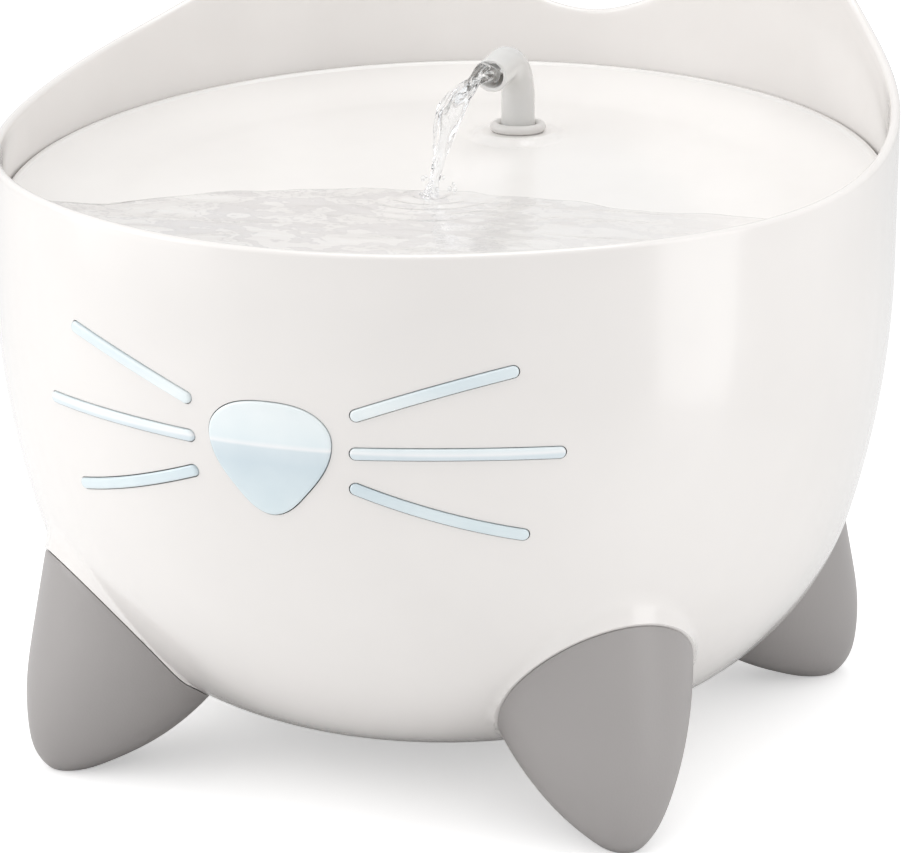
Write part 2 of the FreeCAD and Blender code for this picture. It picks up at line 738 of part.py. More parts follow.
# Filter housing
HOUSING_AXIS = ("0", "housing_back", "0")
TRAY_TOP = "tray_bottom + tray_plate"
tray_blank = turned("tray_blank", (
    ("0", "tray_bottom"), ("housing_radius + part_gap + tray_rim_wall - tray_chamfer", "tray_bottom"),
    ("housing_radius + part_gap + tray_rim_wall", "tray_bottom + tray_chamfer"),
    ("housing_radius + part_gap + tray_rim_wall", f"{TRAY_TOP} + tray_rim"),
    ("housing_radius + part_gap", f"{TRAY_TOP} + tray_rim"),
    ("housing_radius + part_gap", TRAY_TOP), ("0", TRAY_TOP),
), HOUSING_AXIS)
CUP_TURNS = (45, 135, 225, 315)
cup_spots = [("cup_ring * %.6f" % math.cos(math.radians(turn)),
              "housing_back + cup_ring * %.6f" % math.sin(math.radians(turn))) for turn in CUP_TURNS]
cup_holes = [cylinder(f"cup_hole_{index}", "cup_neck + cup_neck_gap", "2 * tray_plate",
                      (x, y, "tray_bottom - tray_plate / 2")) for index, (x, y) in enumerate(cup_spots)]
nodes["pump_tray"] = without("pump_tray", tray_blank, *cup_holes)
cups = [turned(f"suction_cup_{index}", (
    ("0", "seat_top + cup_hollow"), ("cup_radius - 1", "seat_top"), ("cup_radius", "seat_top"),
    ("cup_radius - 3", "seat_top + cup_hollow + 1"), ("cup_neck + 0.6", "tray_bottom"),
    ("cup_neck", "tray_bottom"), ("cup_neck", f"{TRAY_TOP} - cup_neck_gap"),
    ("0", f"{TRAY_TOP} - cup_neck_gap"),
), (x, y, "0")) for index, (x, y) in enumerate(cup_spots)]
nodes["suction_cups"] = doc.addObject("Part::Compound", "suction_cups")
nodes["suction_cups"].Links = cups

housing_blank = turned("housing_blank", (
    ("housing_radius - housing_wall", TRAY_TOP), ("housing_radius", TRAY_TOP),
    ("housing_radius", "housing_top"),
    ("housing_radius - housing_wall", "housing_top"), ("housing_radius - housing_wall", "shelf_top"),
    ("housing_radius - housing_wall - shelf_width", "shelf_top"),
    ("housing_radius - housing_wall - shelf_width", "shelf_top - shelf_depth / 2"),
    ("housing_radius - housing_wall", "shelf_top - shelf_depth - shelf_width / 2"),
), HOUSING_AXIS)


def bars_round(name, count, width, length, height, low, back="housing_back", start=0.0):
    """Upright bars that stand out from an axis, evenly round it."""
    bars = []
    for index in range(count):
        turn = start + 360 * index / count
        bar = shaped(f"{name}_{index}", Part.makeBox(length, width, height, Vec(0, -width / 2, low)))
        bar.Placement.Rotation = FreeCAD.Rotation(UP, turn)
        bar.setExpression("Placement.Base.y", cell(back))
        bars.append(bar)
    return bars


slot_count = int(num("intake_slots"))
intake_bars = bars_round("intake_bar", slot_count, num("intake_slot_width"), num("housing_radius + 2"),
                         num("intake_slot_height"), num("intake_slot_bottom"), start=180 / slot_count)
lead_notch = block("lead_notch", "housing_radius + 4", "3 * lead_radius",
                   f"lead_height + 2 * lead_radius - ({TRAY_TOP})",
                   ("0", "lead_back - 1.5 * lead_radius", TRAY_TOP))
nodes["filter_housing"] = without("filter_housing", housing_blank, lead_notch, *intake_bars)

lid_blank = turned("lid_blank", (
    ("0", "housing_top + part_gap"),
    ("housing_radius - housing_wall - part_gap - 2", "housing_top + part_gap"),
    ("housing_radius - housing_wall - part_gap - 2", "housing_top + part_gap - lid_spigot"),
    ("housing_radius - housing_wall - part_gap", "housing_top + part_gap - lid_spigot"),
    ("housing_radius - housing_wall - part_gap", "housing_top + part_gap"),
    ("housing_radius", "housing_top + part_gap"),
    ("housing_radius", "housing_top + part_gap + lid_plate / 2"),
    ("housing_radius - lid_plate / 2", "housing_top + part_gap + lid_plate"),
    ("0", "housing_top + part_gap + lid_plate"),
), HOUSING_AXIS)


LID_RINGS = (12, 22, 32)
SPOKE_TURNS = (0, 60, 120)


def lid_slots():
    """Arc slots in the lid, in rings about its centre, kept clear of the riser's hole."""
    width, spoke_width, low = num("lid_slot_width"), num("lid_spoke"), num("housing_top - 1")
    centre = Vec(0, num("housing_back"), low)
    tools = []
    for radius in LID_RINGS:
        band = ring(radius + width / 2, radius - width / 2, 0, SPARE)
        band.translate(centre)
        for turn in SPOKE_TURNS:
            spoke = Part.makeBox(4 * SPARE, spoke_width, SPARE, Vec(-2 * SPARE, -spoke_width / 2, 0))
            spoke.rotate(Vec(0, 0, 0), UP, turn)
            spoke.translate(centre)
            band = band.cut(spoke)
        keep = Part.makeCylinder(num("riser_radius + riser_clearance + lid_spigot"), SPARE,
                                 Vec(0, num("spout_back"), low))
        tools.append(band.cut(keep))
    return Part.makeCompound(tools)


riser_pass = cylinder("riser_pass", "riser_radius + riser_clearance", "4 * lid_spigot + 2 * cartridge_height",
                      ("0", "spout_back", "shelf_top - 2"))
nodes["filter_lid"] = without("filter_lid", lid_blank, shaped("lid_slots", lid_slots()), riser_pass)

# Filter cartridge: a frame with a foam disc under a carbon disc
FRAME_OUT = "housing_radius - housing_wall - cartridge_gap"
FRAME_LOW = "shelf_top + part_gap"
FOAM_LOW = f"{FRAME_LOW} + cartridge_floor"
frame_blank = turned("frame_blank", (
    ("0", FRAME_LOW), (FRAME_OUT, FRAME_LOW), (FRAME_OUT, f"{FRAME_LOW} + cartridge_height"),
    (f"{FRAME_OUT} - cartridge_wall", f"{FRAME_LOW} + cartridge_height"),
    (f"{FRAME_OUT} - cartridge_wall", FOAM_LOW), ("0", FOAM_LOW),
), HOUSING_AXIS)
sleeve = cylinder("frame_sleeve", "riser_radius + riser_clearance + cartridge_wall", "cartridge_height",
                  ("0", "spout_back", FRAME_LOW))
FRAME_WINDOWS = 8
frame_bars = bars_round("frame_window", FRAME_WINDOWS, num("frame_window_width"), num("frame_window_reach"),
                        num("cartridge_height / 2"), num("shelf_top - 1"), start=180 / FRAME_WINDOWS)
frame_core = cylinder("frame_hub_keep", "frame_hub", "cartridge_height",
                      ("0", "housing_back", "shelf_top - 2"))
frame_windows = without("frame_windows", joined("frame_window_bars", *frame_bars), frame_core,
                        cylinder("sleeve_keep", "riser_radius + riser_clearance + cartridge_wall",
                                 "3 * cartridge_height",
                                 ("0", "spout_back", "shelf_top - cartridge_height")))
nodes["cartridge_frame"] = without("cartridge_frame", joined("frame_with_sleeve", frame_blank, sleeve),
                                   frame_windows, riser_pass)
sleeve_hole = cylinder("sleeve_hole", "riser_radius + riser_clearance + cartridge_wall + part_gap",
                       "3 * cartridge_height", ("0", "spout_back", "shelf_top - cartridge_height"))
for name, low, height in (("filter_foam", FOAM_LOW, "foam_height"),
                          ("filter_carbon", f"{FOAM_LOW} + foam_height", "carbon_height")):
    disc = cylinder(name + "_disc", f"{FRAME_OUT} - cartridge_wall - part_gap", height,
                    ("0", "housing_back", low))
    nodes[name] = without(name, disc, sleeve_hole)

# Pump
CHAMBER_BACK = "chamber_front + chamber_depth"
ROTOR_AXIS = ("0", "0", "rotor_height")
pump_box = block("pump_box", "2 * pump_half_width", "chamber_front - pump_front", f"pump_top - ({TRAY_TOP})",
                 ("-pump_half_width", "pump_front", TRAY_TOP))
pump_cavity = block("pump_cavity", "2 * (pump_half_width - pump_wall)",
                    "chamber_front - pump_front - pump_wall + 1",
                    f"pump_top - ({TRAY_TOP}) - 2 * pump_wall",
                    ("-pump_half_width + pump_wall", "pump_front - 1", f"{TRAY_TOP} + pump_wall"))
well = cylinder("rotor_well", "well_bore + well_wall", "well_depth + well_wall",
                ("0", "chamber_front - well_depth - well_wall", "rotor_height"), ALONG_Y)
well_hole = cylinder("well_hole", "well_bore", "well_depth + 1",
                     ("0", "chamber_front - well_depth", "rotor_height"), ALONG_Y)
chamber = cylinder("chamber", "chamber_radius", "chamber_depth", ("0", "chamber_front", "rotor_height"),
                   ALONG_Y)
chamber_hole = cylinder("chamber_hole", "chamber_radius - chamber_wall", "chamber_depth",
                        ("0", "chamber_front + part_gap", "rotor_height"), ALONG_Y)
nozzle = cylinder("nozzle", "nozzle_radius", "nozzle_top - rotor_height - chamber_radius + 4",
                  ("0", "spout_back", "rotor_height + chamber_radius - 4"))
nozzle_hole = cylinder("nozzle_hole", "nozzle_bore", "nozzle_top - rotor_height",
                       ("0", "spout_back", "rotor_height + 1"))
lead_hole = cylinder("lead_hole", "lead_radius + lead_fit", "2 * pump_wall",
                     ("pump_half_width - 1.5 * pump_wall", "lead_back", "lead_height"), (Vec(0, 1, 0), 90))
pump_shell = joined("pump_shell", without("pump_box_shell", pump_box, pump_cavity), well, chamber, nozzle)
nodes["pump_housing"] = without("pump_housing", pump_shell, well_hole, chamber_hole, nozzle_hole, lead_hole)
nodes["pump_end_cap"] = block("pump_end_cap", "2 * pump_half_width", "cap_plate", f"pump_top - ({TRAY_TOP})",
                              ("-pump_half_width", "pump_front - cap_plate", TRAY_TOP))

CORE_TOP = "rotor_height + well_bore + well_wall + core_gap + 1.5"
core_block = block("core_block", "2 * core_half_width", "core_length", f"{CORE_TOP} - core_bottom",
                   ("-core_half_width", "core_front", "core_bottom"))
core_bore = cylinder("core_bore", "well_bore + well_wall + core_gap", "2 * core_length",
                     ("0", "core_front - core_length / 2", "rotor_height"), ALONG_Y)
core_window = block("core_window", "2 * coil_half_width + 2 * core_gap", "2 * core_length",
                    "rotor_height - core_bottom - core_leg - well_bore / 2",
                    ("-coil_half_width - core_gap", "core_front - core_length / 2", "core_bottom + core_leg"))
nodes["stator_core"] = without("stator_core", core_block, core_bore, core_window)
coil_block = block("coil_block", "2 * coil_half_width", "core_length + 2 * coil_thickness",
                   "core_leg + coil_thickness",
                   ("-coil_half_width", "core_front - coil_thickness", "core_bottom + part_gap"))
coil_hole = block("coil_hole", "2 * coil_half_width + 2", "core_length + 2 * core_gap",
                  "core_leg + core_gap + 2",
                  ("-coil_half_width - 1", "core_front - core_gap", "core_bottom + part_gap - 2"))
nodes["stator_coil"] = without("stator_coil", coil_block, coil_hole)

# Rotor: magnet and impeller turn on a fixed shaft held in a bush at each end
REAR_BUSH = "chamber_front - well_depth"
MAGNET_FRONT = f"{REAR_BUSH} + bush_length + end_play"
IMPELLER_FRONT = "chamber_front + end_play + part_gap"
BUSH_FRONT = f"{CHAMBER_BACK} - bush_length"


def along_axis(name, radius, start, length):
    return cylinder(name, radius, length, ("0", start, "rotor_height"), ALONG_Y)


magnet_bar = along_axis("magnet_bar", "magnet_radius", MAGNET_FRONT, f"{IMPELLER_FRONT} - ({MAGNET_FRONT})")
shaft_bore = along_axis("shaft_bore", "shaft_radius + shaft_fit", "0", f"{CHAMBER_BACK} + cover_plate")
nodes["rotor_magnet"] = without("rotor_magnet", magnet_bar, shaft_bore)
hub = along_axis("impeller_hub_bar", "impeller_hub", IMPELLER_FRONT,
                 f"{BUSH_FRONT} - end_play - ({IMPELLER_FRONT})")
plate = along_axis("impeller_disc", "impeller_radius", IMPELLER_FRONT, "impeller_plate")
blades = []
for index in range(int(num("impeller_blades"))):
    blade = block(f"blade_{index}", "impeller_radius", "impeller_length - impeller_plate", "impeller_blade",
                  ("0", f"{IMPELLER_FRONT} + impeller_plate / 2", "rotor_height"))
    blade.Placement.Rotation = FreeCAD.Rotation(Vec(0, 1, 0), 360 * index / num("impeller_blades"))
    blades.append(blade)
nodes["impeller"] = without("impeller", joined("impeller_blank", hub, plate, *blades), shaft_bore)
nodes["rotor_shaft"] = along_axis("rotor_shaft", "shaft_radius", f"{REAR_BUSH} + 0.2",
                                  f"{CHAMBER_BACK} - 0.2 - ({REAR_BUSH} + 0.2)")
for name, start in (("rear_bush", REAR_BUSH), ("front_bush", BUSH_FRONT)):
    ring_bar = along_axis(name + "_bar", "bush_radius", start, "bush_length")
    bore = along_axis(name + "_bore", "shaft_radius",
                      start + " + 0.2" if name == "rear_bush" else start + " - 1",
                      "bush_length" if name == "rear_bush" else "bush_length + 0.8")
    nodes[name] = without(name, ring_bar, bore)

cover_disc = along_axis("cover_disc", "chamber_radius", CHAMBER_BACK, "cover_plate")
cover_hub = along_axis("cover_hub", "bush_radius + 1", f"{BUSH_FRONT} + 0.5", "bush_length")
cover_pin = along_axis("cover_pin_bar", "cover_pin", f"{CHAMBER_BACK} + 1", "cover_plate + dial_plate + 2")
bush_pocket = along_axis("bush_pocket", "bush_radius", f"{BUSH_FRONT} - 1", "bush_length + 1")
dial_disc = along_axis("dial_disc", "dial_radius", f"{CHAMBER_BACK} + cover_plate + part_gap", "dial_plate")
dial_hole = along_axis("dial_hole", "cover_pin + dial_fit", CHAMBER_BACK, "cover_plate + dial_plate + 4")
tab = block("dial_tab_bar", "dial_tab_width", "dial_plate", "dial_tab",
            ("-dial_tab_width / 2", f"{CHAMBER_BACK} + cover_plate + part_gap", "rotor_height"))
intakes = []
INTAKE_TURNS = (30, 150, 270)
for index, degrees in enumerate(INTAKE_TURNS):
    turn = math.radians(degrees)
    intakes.append(cylinder(f"intake_{index}", "intake_hole", "cover_plate + dial_plate + 4",
                            ("intake_ring * %.6f" % math.cos(turn), CHAMBER_BACK + " - 1",
                             "rotor_height + intake_ring * %.6f" % math.sin(turn)), ALONG_Y))
intake_tools = joined("intake_tools", *intakes)
nodes["pump_cover"] = without("pump_cover", joined("cover_blank", cover_disc, cover_hub, cover_pin),
                              bush_pocket, intake_tools)
nodes["flow_dial"] = without("flow_dial", joined("dial_blank", dial_disc, tab), dial_hole, intake_tools)

# Power inlet in the rear wall
INNER_WALL = "bowl_radius - bowl_wall - inlet_gap"
nodes["power_inlet"] = without("power_inlet", turned("inlet_blank", (
    ("0", "bowl_radius - inlet_length"), ("inlet_radius", "bowl_radius - inlet_length"),
    ("inlet_radius", "bowl_radius - inlet_flange_depth - inlet_gap"),
    ("inlet_flange", "bowl_radius - inlet_flange_depth - inlet_gap"),
    ("inlet_flange", "bowl_radius - inlet_gap"),
    ("0", "bowl_radius - inlet_gap"),
), ("0", "0", "inlet_height"), ALONG_Y), turned("jack_hole", (
    ("jack_pin", "bowl_radius - jack_depth"), ("jack_radius", "bowl_radius - jack_depth"),
    ("jack_radius", "bowl_radius + 1"), ("jack_pin", "bowl_radius + 1"),
), ("0", "0", "inlet_height"), ALONG_Y))
nodes["inlet_seal"] = turned("inlet_seal_ring", (
    ("inlet_radius", f"{INNER_WALL} - part_gap - inlet_seal"),
    ("seal_ring", f"{INNER_WALL} - part_gap - inlet_seal"),
    ("seal_ring", f"{INNER_WALL} - part_gap"), ("inlet_radius", f"{INNER_WALL} - part_gap"),
), ("0", "0", "inlet_height"), ALONG_Y)
nut_blank = bound("Part::Prism", "nut_blank",
                  ("0", f"{INNER_WALL} - part_gap - inlet_seal - nut_height", "inlet_height"),
                  ALONG_Y, Circumradius="nut_flat / 2 / cos(30deg)", Height="nut_height")
nut_blank.Polygon = 6
nodes["inlet_nut"] = without("inlet_nut", nut_blank,
                             cylinder("nut_bore", "inlet_radius", "2 * nut_height + inlet_length",
                                      ("0", "bowl_radius - inlet_length - 2", "inlet_height"), ALONG_Y))

doc.recompute()
for obj in doc.Objects:
    if {"Invalid", "Error"} & set(obj.State):
        raise RuntimeError(f"{obj.Name} is {obj.State}")
for name, obj in nodes.items():
    obj.Label = name
    if obj.Shape.isNull() or not obj.Shape.isValid() or not obj.Shape.Solids:
        raise RuntimeError(f"{name} has no valid shape")
for name, obj in nodes.items():
    obj.Shape.exportStep(f"parts/{name}.step")
print(len(nodes), "nodes")
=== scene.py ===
"""Pet water fountain: a footed bowl with ears, a tilted drinking dish, a bent spout and running water."""
import json
import math

import bmesh
import bpy
import numpy as np
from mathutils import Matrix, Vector


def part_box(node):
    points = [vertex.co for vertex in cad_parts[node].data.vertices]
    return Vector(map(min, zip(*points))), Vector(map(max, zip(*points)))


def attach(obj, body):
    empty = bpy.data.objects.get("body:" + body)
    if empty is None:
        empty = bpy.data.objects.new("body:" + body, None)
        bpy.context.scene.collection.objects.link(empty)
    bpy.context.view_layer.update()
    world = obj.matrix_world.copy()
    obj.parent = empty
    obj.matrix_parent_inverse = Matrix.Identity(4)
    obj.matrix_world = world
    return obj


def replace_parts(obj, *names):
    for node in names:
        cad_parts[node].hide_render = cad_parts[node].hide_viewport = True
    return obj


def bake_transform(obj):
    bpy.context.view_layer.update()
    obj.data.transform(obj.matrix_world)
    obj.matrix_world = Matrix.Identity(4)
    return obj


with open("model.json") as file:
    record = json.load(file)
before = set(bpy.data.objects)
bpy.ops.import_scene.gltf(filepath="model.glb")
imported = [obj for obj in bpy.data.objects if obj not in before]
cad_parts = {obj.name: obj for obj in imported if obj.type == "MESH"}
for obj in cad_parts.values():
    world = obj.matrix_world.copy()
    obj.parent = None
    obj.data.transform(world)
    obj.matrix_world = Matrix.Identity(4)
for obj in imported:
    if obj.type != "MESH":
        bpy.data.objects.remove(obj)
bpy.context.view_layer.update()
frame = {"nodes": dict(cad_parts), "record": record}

# Sizes in millimetres; meshes are turned to metres where they are made.
MM = 0.001
RADIUS = 121.0
WALL = 2.6
BELLY = 132.0
BOTTOM = 7.1
SIDE_ARC = 244.3
CORNER_ARC = 75.7
BASE_ARC = 389.0
RIM_FRONT = 159.5
RIM_SIDE = 163.3
RIM_REAR = 176.3
EAR_TIP = 210.0
FOOT_ANGLES = {
    "foot_front_left": -45.0,
    "foot_front_right": 45.0,
    "foot_rear_left": -125.0,
    "foot_rear_right": 125.0,
}
ARCH_REACH = 113.0
ARCH_HEIGHT = 60.0
ARCH_SLOPE = 1.2
POST_REACH = 95.0
SCREW_WELL = 4.6
SCREW_WELL_TOP = 16.0
SEAM = 150.8
TILT = math.tan(math.radians(4.6))
DISH_RADIUS = 118.0
DISH_FLOOR = 96.0
DISH_DEPTH = 4.5
DISH_SKIN = 2.4
SKIRT = 12.0
FRONT_LIP = 148.0
WEIR = 146.0
WEIR_TURNS = (-14.0, 0.0, 14.0)
WEIR_HALF = 3.4
SPOUT_BACK = (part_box("spout_grommet")[0].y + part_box("spout_grommet")[1].y) / 2 / MM
PAD_TOP = 152.0
PAD_RADIUS = 11.0
SOCKET_RADIUS = 6.3
LEDGE_WIDTH = 3.0
LEDGE_DEPTH = 3.0
LEDGE_GAP = 0.3
LEDGE_OPENING = 22.0
INSIDE_BREAK = 118.0
SEAT_TOP = 16.0
SEAT_RADIUS = 38.0
INLET_HEIGHT = 132.0
WATER_LEVEL = 146.5


# Curves and grids

# How many points the round end of a bar has.
BAR_CAP = 10


def curve_through(knots, values, period=None):
    """A cubic spline through values at the knots, periodic or with free ends."""
    knots, values = np.array(knots, float), np.array(values, float)
    if period:
        knots, values = np.append(knots, knots[0] + period), np.append(values, values[0])
    count, gaps = len(knots), np.diff(knots)
    slopes = np.diff(values) / gaps
    system, right = np.eye(count), np.zeros(count)
    for i in range(1, count - 1):
        system[i, i - 1:i + 2] = gaps[i - 1], 2 * (gaps[i - 1] + gaps[i]), gaps[i]
        right[i] = 6 * (slopes[i] - slopes[i - 1])
    if period:
        system[0, -1] = -1
        system[-1, [0, 1, -2, -1]] = 2 * gaps[0], gaps[0], gaps[-1], 2 * gaps[-1]
        right[-1] = 6 * (slopes[0] - slopes[-1])
    bend = np.linalg.solve(system, right)

    def at(x):
        x = np.asarray(x, float)
        if period:
            x = knots[0] + (x - knots[0]) % period
        i = np.clip(np.searchsorted(knots, x, side="right") - 1, 0, count - 2)
        gap = gaps[i]
        a, b = (knots[i + 1] - x) / gap, (x - knots[i]) / gap
        curve = (a ** 3 - a) * bend[i] + (b ** 3 - b) * bend[i + 1]
        return a * values[i] + b * values[i + 1] + curve * gap ** 2 / 6
    return at


def smooth_step(x):
    x = np.clip(x, 0.0, 1.0)
    return x * x * (3 - 2 * x)


def soft_max(a, b, blend):
    """The larger of a and b, rounded where they are closer than blend."""
    overlap = np.clip(blend - np.abs(a - b), 0, None)
    return np.maximum(a, b) + overlap ** 2 / (4 * blend)


def stacked(*parts):
    """Coordinates of one ring or grid as an array of points."""
    return np.stack(np.broadcast_arrays(*parts), axis=-1)


def band(rows, columns, closed=False):
    """Quads from ring to ring of points, and from the last ring to the first where it is closed."""
    faces = []
    for row in range(rows if closed else rows - 1):
        low, high = row * columns, (row + 1) % rows * columns
        for column in range(columns):
            after = (column + 1) % columns
            faces.append((low + column, low + after, high + after, high + column))
    return faces


def skin(rings, bar=False):
    """A closed surface through rings that run the same way round, ended by fans or by strips across a bar."""
    rings = np.asarray(rings, float)
    rows, columns = rings.shape[:2]
    points = list(rings.reshape(-1, 3))
    faces = band(rows, columns)
    if bar:
        start, half = columns - BAR_CAP // 2, columns // 2
        pairs = [((start + step) % columns, (start - 1 - step) % columns) for step in range(half)]
        for low in (0, (rows - 1) * columns):
            faces += [(low + a, low + c, low + d, low + b) for (a, b), (c, d) in zip(pairs, pairs[1:])]
        return points, faces
    for row in (0, rows - 1):
        centre = len(points)
        points.append(rings[row].mean(axis=0))
        for column in range(columns):
            faces.append((row * columns + column, row * columns + (column + 1) % columns, centre))
    return points, faces


def joined(surfaces):
    points, faces = [], []
    for more_points, more_faces in surfaces:
        faces += [tuple(len(points) + corner for corner in face) for face in more_faces]
        points += list(more_points)
    return points, faces


def mesh_of(name, points, faces):
    mesh = bpy.data.meshes.new(name)
    mesh.from_pydata([tuple(point) for point in np.asarray(points) * MM], [], faces)
    work = bmesh.new()
    work.from_mesh(mesh)
    bmesh.ops.recalc_face_normals(work, faces=work.faces)
    work.to_mesh(mesh)
    work.free()
    return mesh


def piece(name, surface, body, slot, cutters=(), crease=38.0, look=None):
    """A mesh piece that rides on a body, with its openings cut and its finish given by its slot."""
    obj = bpy.data.objects.new(name, mesh_of(name, *surface))
    bpy.context.scene.collection.objects.link(obj)
    if cutters:
        cut_openings(obj, cutters)
    obj.data.shade_smooth()
    obj.data.set_sharp_from_angle(angle=math.radians(crease))
    obj.data.materials.clear()
    obj.data.materials.append(finish(look or slot))
    if body:
        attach(obj, body)
    return obj


def cut_openings(obj, cutters):
    """Cuts closed surfaces out of a piece and keeps the result as its mesh."""
    tool = bpy.data.objects.new("cutter", mesh_of("cutter", *joined(cutters)))
    bpy.context.scene.collection.objects.link(tool)
    modifier = obj.modifiers.new("openings", "BOOLEAN")
    modifier.object = tool
    modifier.operation = "DIFFERENCE"
    modifier.solver = "EXACT"
    evaluated = obj.evaluated_get(bpy.context.evaluated_depsgraph_get())
    cut = bpy.data.meshes.new_from_object(evaluated)
    obj.modifiers.clear()
    obj.data = cut
    bpy.data.objects.remove(tool)


def lathe(outline, centre=(0.0, 0.0, 0.0), turns=96, along="z"):
    """A closed surface of revolution from radius and height pairs."""
    turn = np.linspace(0, 2 * math.pi, turns, endpoint=False)
    rings = [stacked(radius * np.cos(turn), radius * np.sin(turn), height) for radius, height in outline]
    if along == "y":
        rings = [ring[:, [0, 2, 1]] for ring in rings]
    return skin(np.array(rings) + np.array(centre))


def arc(centre, radius, start, end, steps):
    """Points of an arc in a section, by angles in degrees."""
    angles = np.radians(np.linspace(start, end, steps + 1))
    return [(centre[0] + radius * math.cos(a), centre[1] + radius * math.sin(a)) for a in angles]


# Finishes

FINISHES = {}
WHITE = (1.0, 1.0, 1.0, 1.0)
BUMP_HEIGHT = 0.001
ACRYLIC_IOR = 1.49
WATER_IOR = 1.33
# Heights between which the windows' tints run, and the tints from below upwards; the bright stop at 0.505 is
# a painted highlight along the water line.
WINDOW_SPAN = (0.088, 0.132)
WINDOW_TINTS_AND_HIGHLIGHT = (
    (0.10, (0.90, 0.945, 0.96)), (0.40, (0.855, 0.905, 0.93)), (0.490, (0.89, 0.93, 0.95)),
    (0.505, (0.99, 0.995, 1.0)), (0.53, (0.94, 0.975, 0.985)), (0.75, (0.96, 0.985, 0.99)),
    (0.9, (0.91, 0.95, 0.965)),
)
# Where across the dish the pool's painted ripple shade starts and ends fading into a painted highlight toward
# the right.
POOL_HIGHLIGHT_FADE = (-0.02, 0.085)


def nodes_of(name):
    material = bpy.data.materials.new(name)
    material.use_nodes = True
    return material, material.node_tree.nodes, material.node_tree.links


def noise(nodes, links, place, scale, detail=3.0, rough=0.5):
    made = nodes.new("ShaderNodeTexNoise")
    made.inputs["Scale"].default_value = scale
    made.inputs["Detail"].default_value = detail
    made.inputs["Roughness"].default_value = rough
    links.new(place, made.inputs["Vector"])
    return made.outputs["Fac"]


def ramp(nodes, links, factor, stops):
    """A colour ramp from pairs of position and colour."""
    made = nodes.new("ShaderNodeValToRGB")
    elements = made.color_ramp.elements
    while len(elements) < len(stops):
        elements.new(0.5)
    for element, (position, colour) in zip(elements, stops):
        element.position = position
        element.color = (*colour, 1.0)
    links.new(factor, made.inputs["Fac"])
    return made.outputs["Color"]


def spread(nodes, links, factor, low, high, start=0.0, end=1.0):
    """Maps a factor from one range onto another."""
    made = nodes.new("ShaderNodeMapRange")
    made.inputs["From Min"].default_value = start
    made.inputs["From Max"].default_value = end
    made.inputs["To Min"].default_value = low
    made.inputs["To Max"].default_value = high
    links.new(factor, made.inputs["Value"])
    return made.outputs["Result"]


def mixed(nodes, links, factor, first, second, blend="MIX"):
    """A mix of two colours, where the factor and each colour is a socket or a plain value."""
    made = nodes.new("ShaderNodeMix")
    made.data_type = "RGBA"
    made.blend_type = blend
    for name, given in (("Factor", factor), ("A", first), ("B", second)):
        if isinstance(given, bpy.types.NodeSocket):
            links.new(given, made.inputs[name])
        else:
            made.inputs[name].default_value = given
    return made.outputs["Result"]


def bumped(nodes, links, height, strength):
    """The surface's normal, tilted by a height pattern."""
    made = nodes.new("ShaderNodeBump")
    made.inputs["Strength"].default_value = strength
    made.inputs["Distance"].default_value = BUMP_HEIGHT
    links.new(height, made.inputs["Height"])
    return made.outputs["Normal"]


def object_place(nodes):
    return nodes.new("ShaderNodeTexCoord").outputs["Object"]


def object_axis(nodes, links, axis):
    """The place along one axis."""
    parts = nodes.new("ShaderNodeSeparateXYZ")
    links.new(object_place(nodes), parts.inputs[0])
    return parts.outputs[axis]


def stretched_place(nodes, links, scale):
    made = nodes.new("ShaderNodeMapping")
    made.inputs["Scale"].default_value = scale
    links.new(object_place(nodes), made.inputs["Vector"])
    return made.outputs["Vector"]


def mixed_shader(nodes, links, factor, first, second):
    """Shows a mix of two shaders."""
    made = nodes.new("ShaderNodeMixShader")
    links.new(factor, made.inputs["Fac"])
    links.new(first, made.inputs[1])
    links.new(second, made.inputs[2])
    links.new(made.outputs[0], nodes["Material Output"].inputs["Surface"])


def linear(level):
    return level / 12.92 if level <= 0.04045 else ((level + 0.055) / 1.055) ** 2.4


def shade(colour, factor=1.0):
    """A colour as it is seen, turned to linear light and scaled."""
    return tuple(min(1.0, linear(level) * factor) for level in colour)


def moulded(name, colour, rough=0.3, grain=0.02, grain_scale=900.0, drift=0.02, metal=0.0, coat=0.0, see=0.0,
            sub=0.0, speckle=None):
    """A moulded finish: slight drift of colour, uneven gloss and a fine surface grain."""
    material, nodes, links = nodes_of(name)
    shader = nodes["Principled BSDF"]
    place = object_place(nodes)
    tint = ramp(nodes, links, noise(nodes, links, place, 22.0),
                [(0.3, shade(colour, 1 - drift)), (0.7, shade(colour, 1 + drift))])
    fine = noise(nodes, links, place, grain_scale, 4.0)
    if speckle:
        spots = ramp(nodes, links, fine, [(0.56, (0.0, 0.0, 0.0)), (0.62, WHITE[:3])])
        tint = mixed(nodes, links, spots, tint, (*shade(speckle), 1.0))
    links.new(tint, shader.inputs["Base Color"])
    gloss = noise(nodes, links, place, 60.0)
    links.new(spread(nodes, links, gloss, rough * 0.85, rough * 1.15), shader.inputs["Roughness"])
    links.new(bumped(nodes, links, fine, grain), shader.inputs["Normal"])
    shader.inputs["Metallic"].default_value = metal
    shader.inputs["Coat Weight"].default_value = coat
    shader.inputs["Coat Roughness"].default_value = 0.13
    shader.inputs["Transmission Weight"].default_value = see
    shader.inputs["Subsurface Weight"].default_value = sub
    shader.inputs["Subsurface Scale"].default_value = 0.004
    shader.inputs["Subsurface Radius"].default_value = (1.0, 0.92, 0.86)
    return material


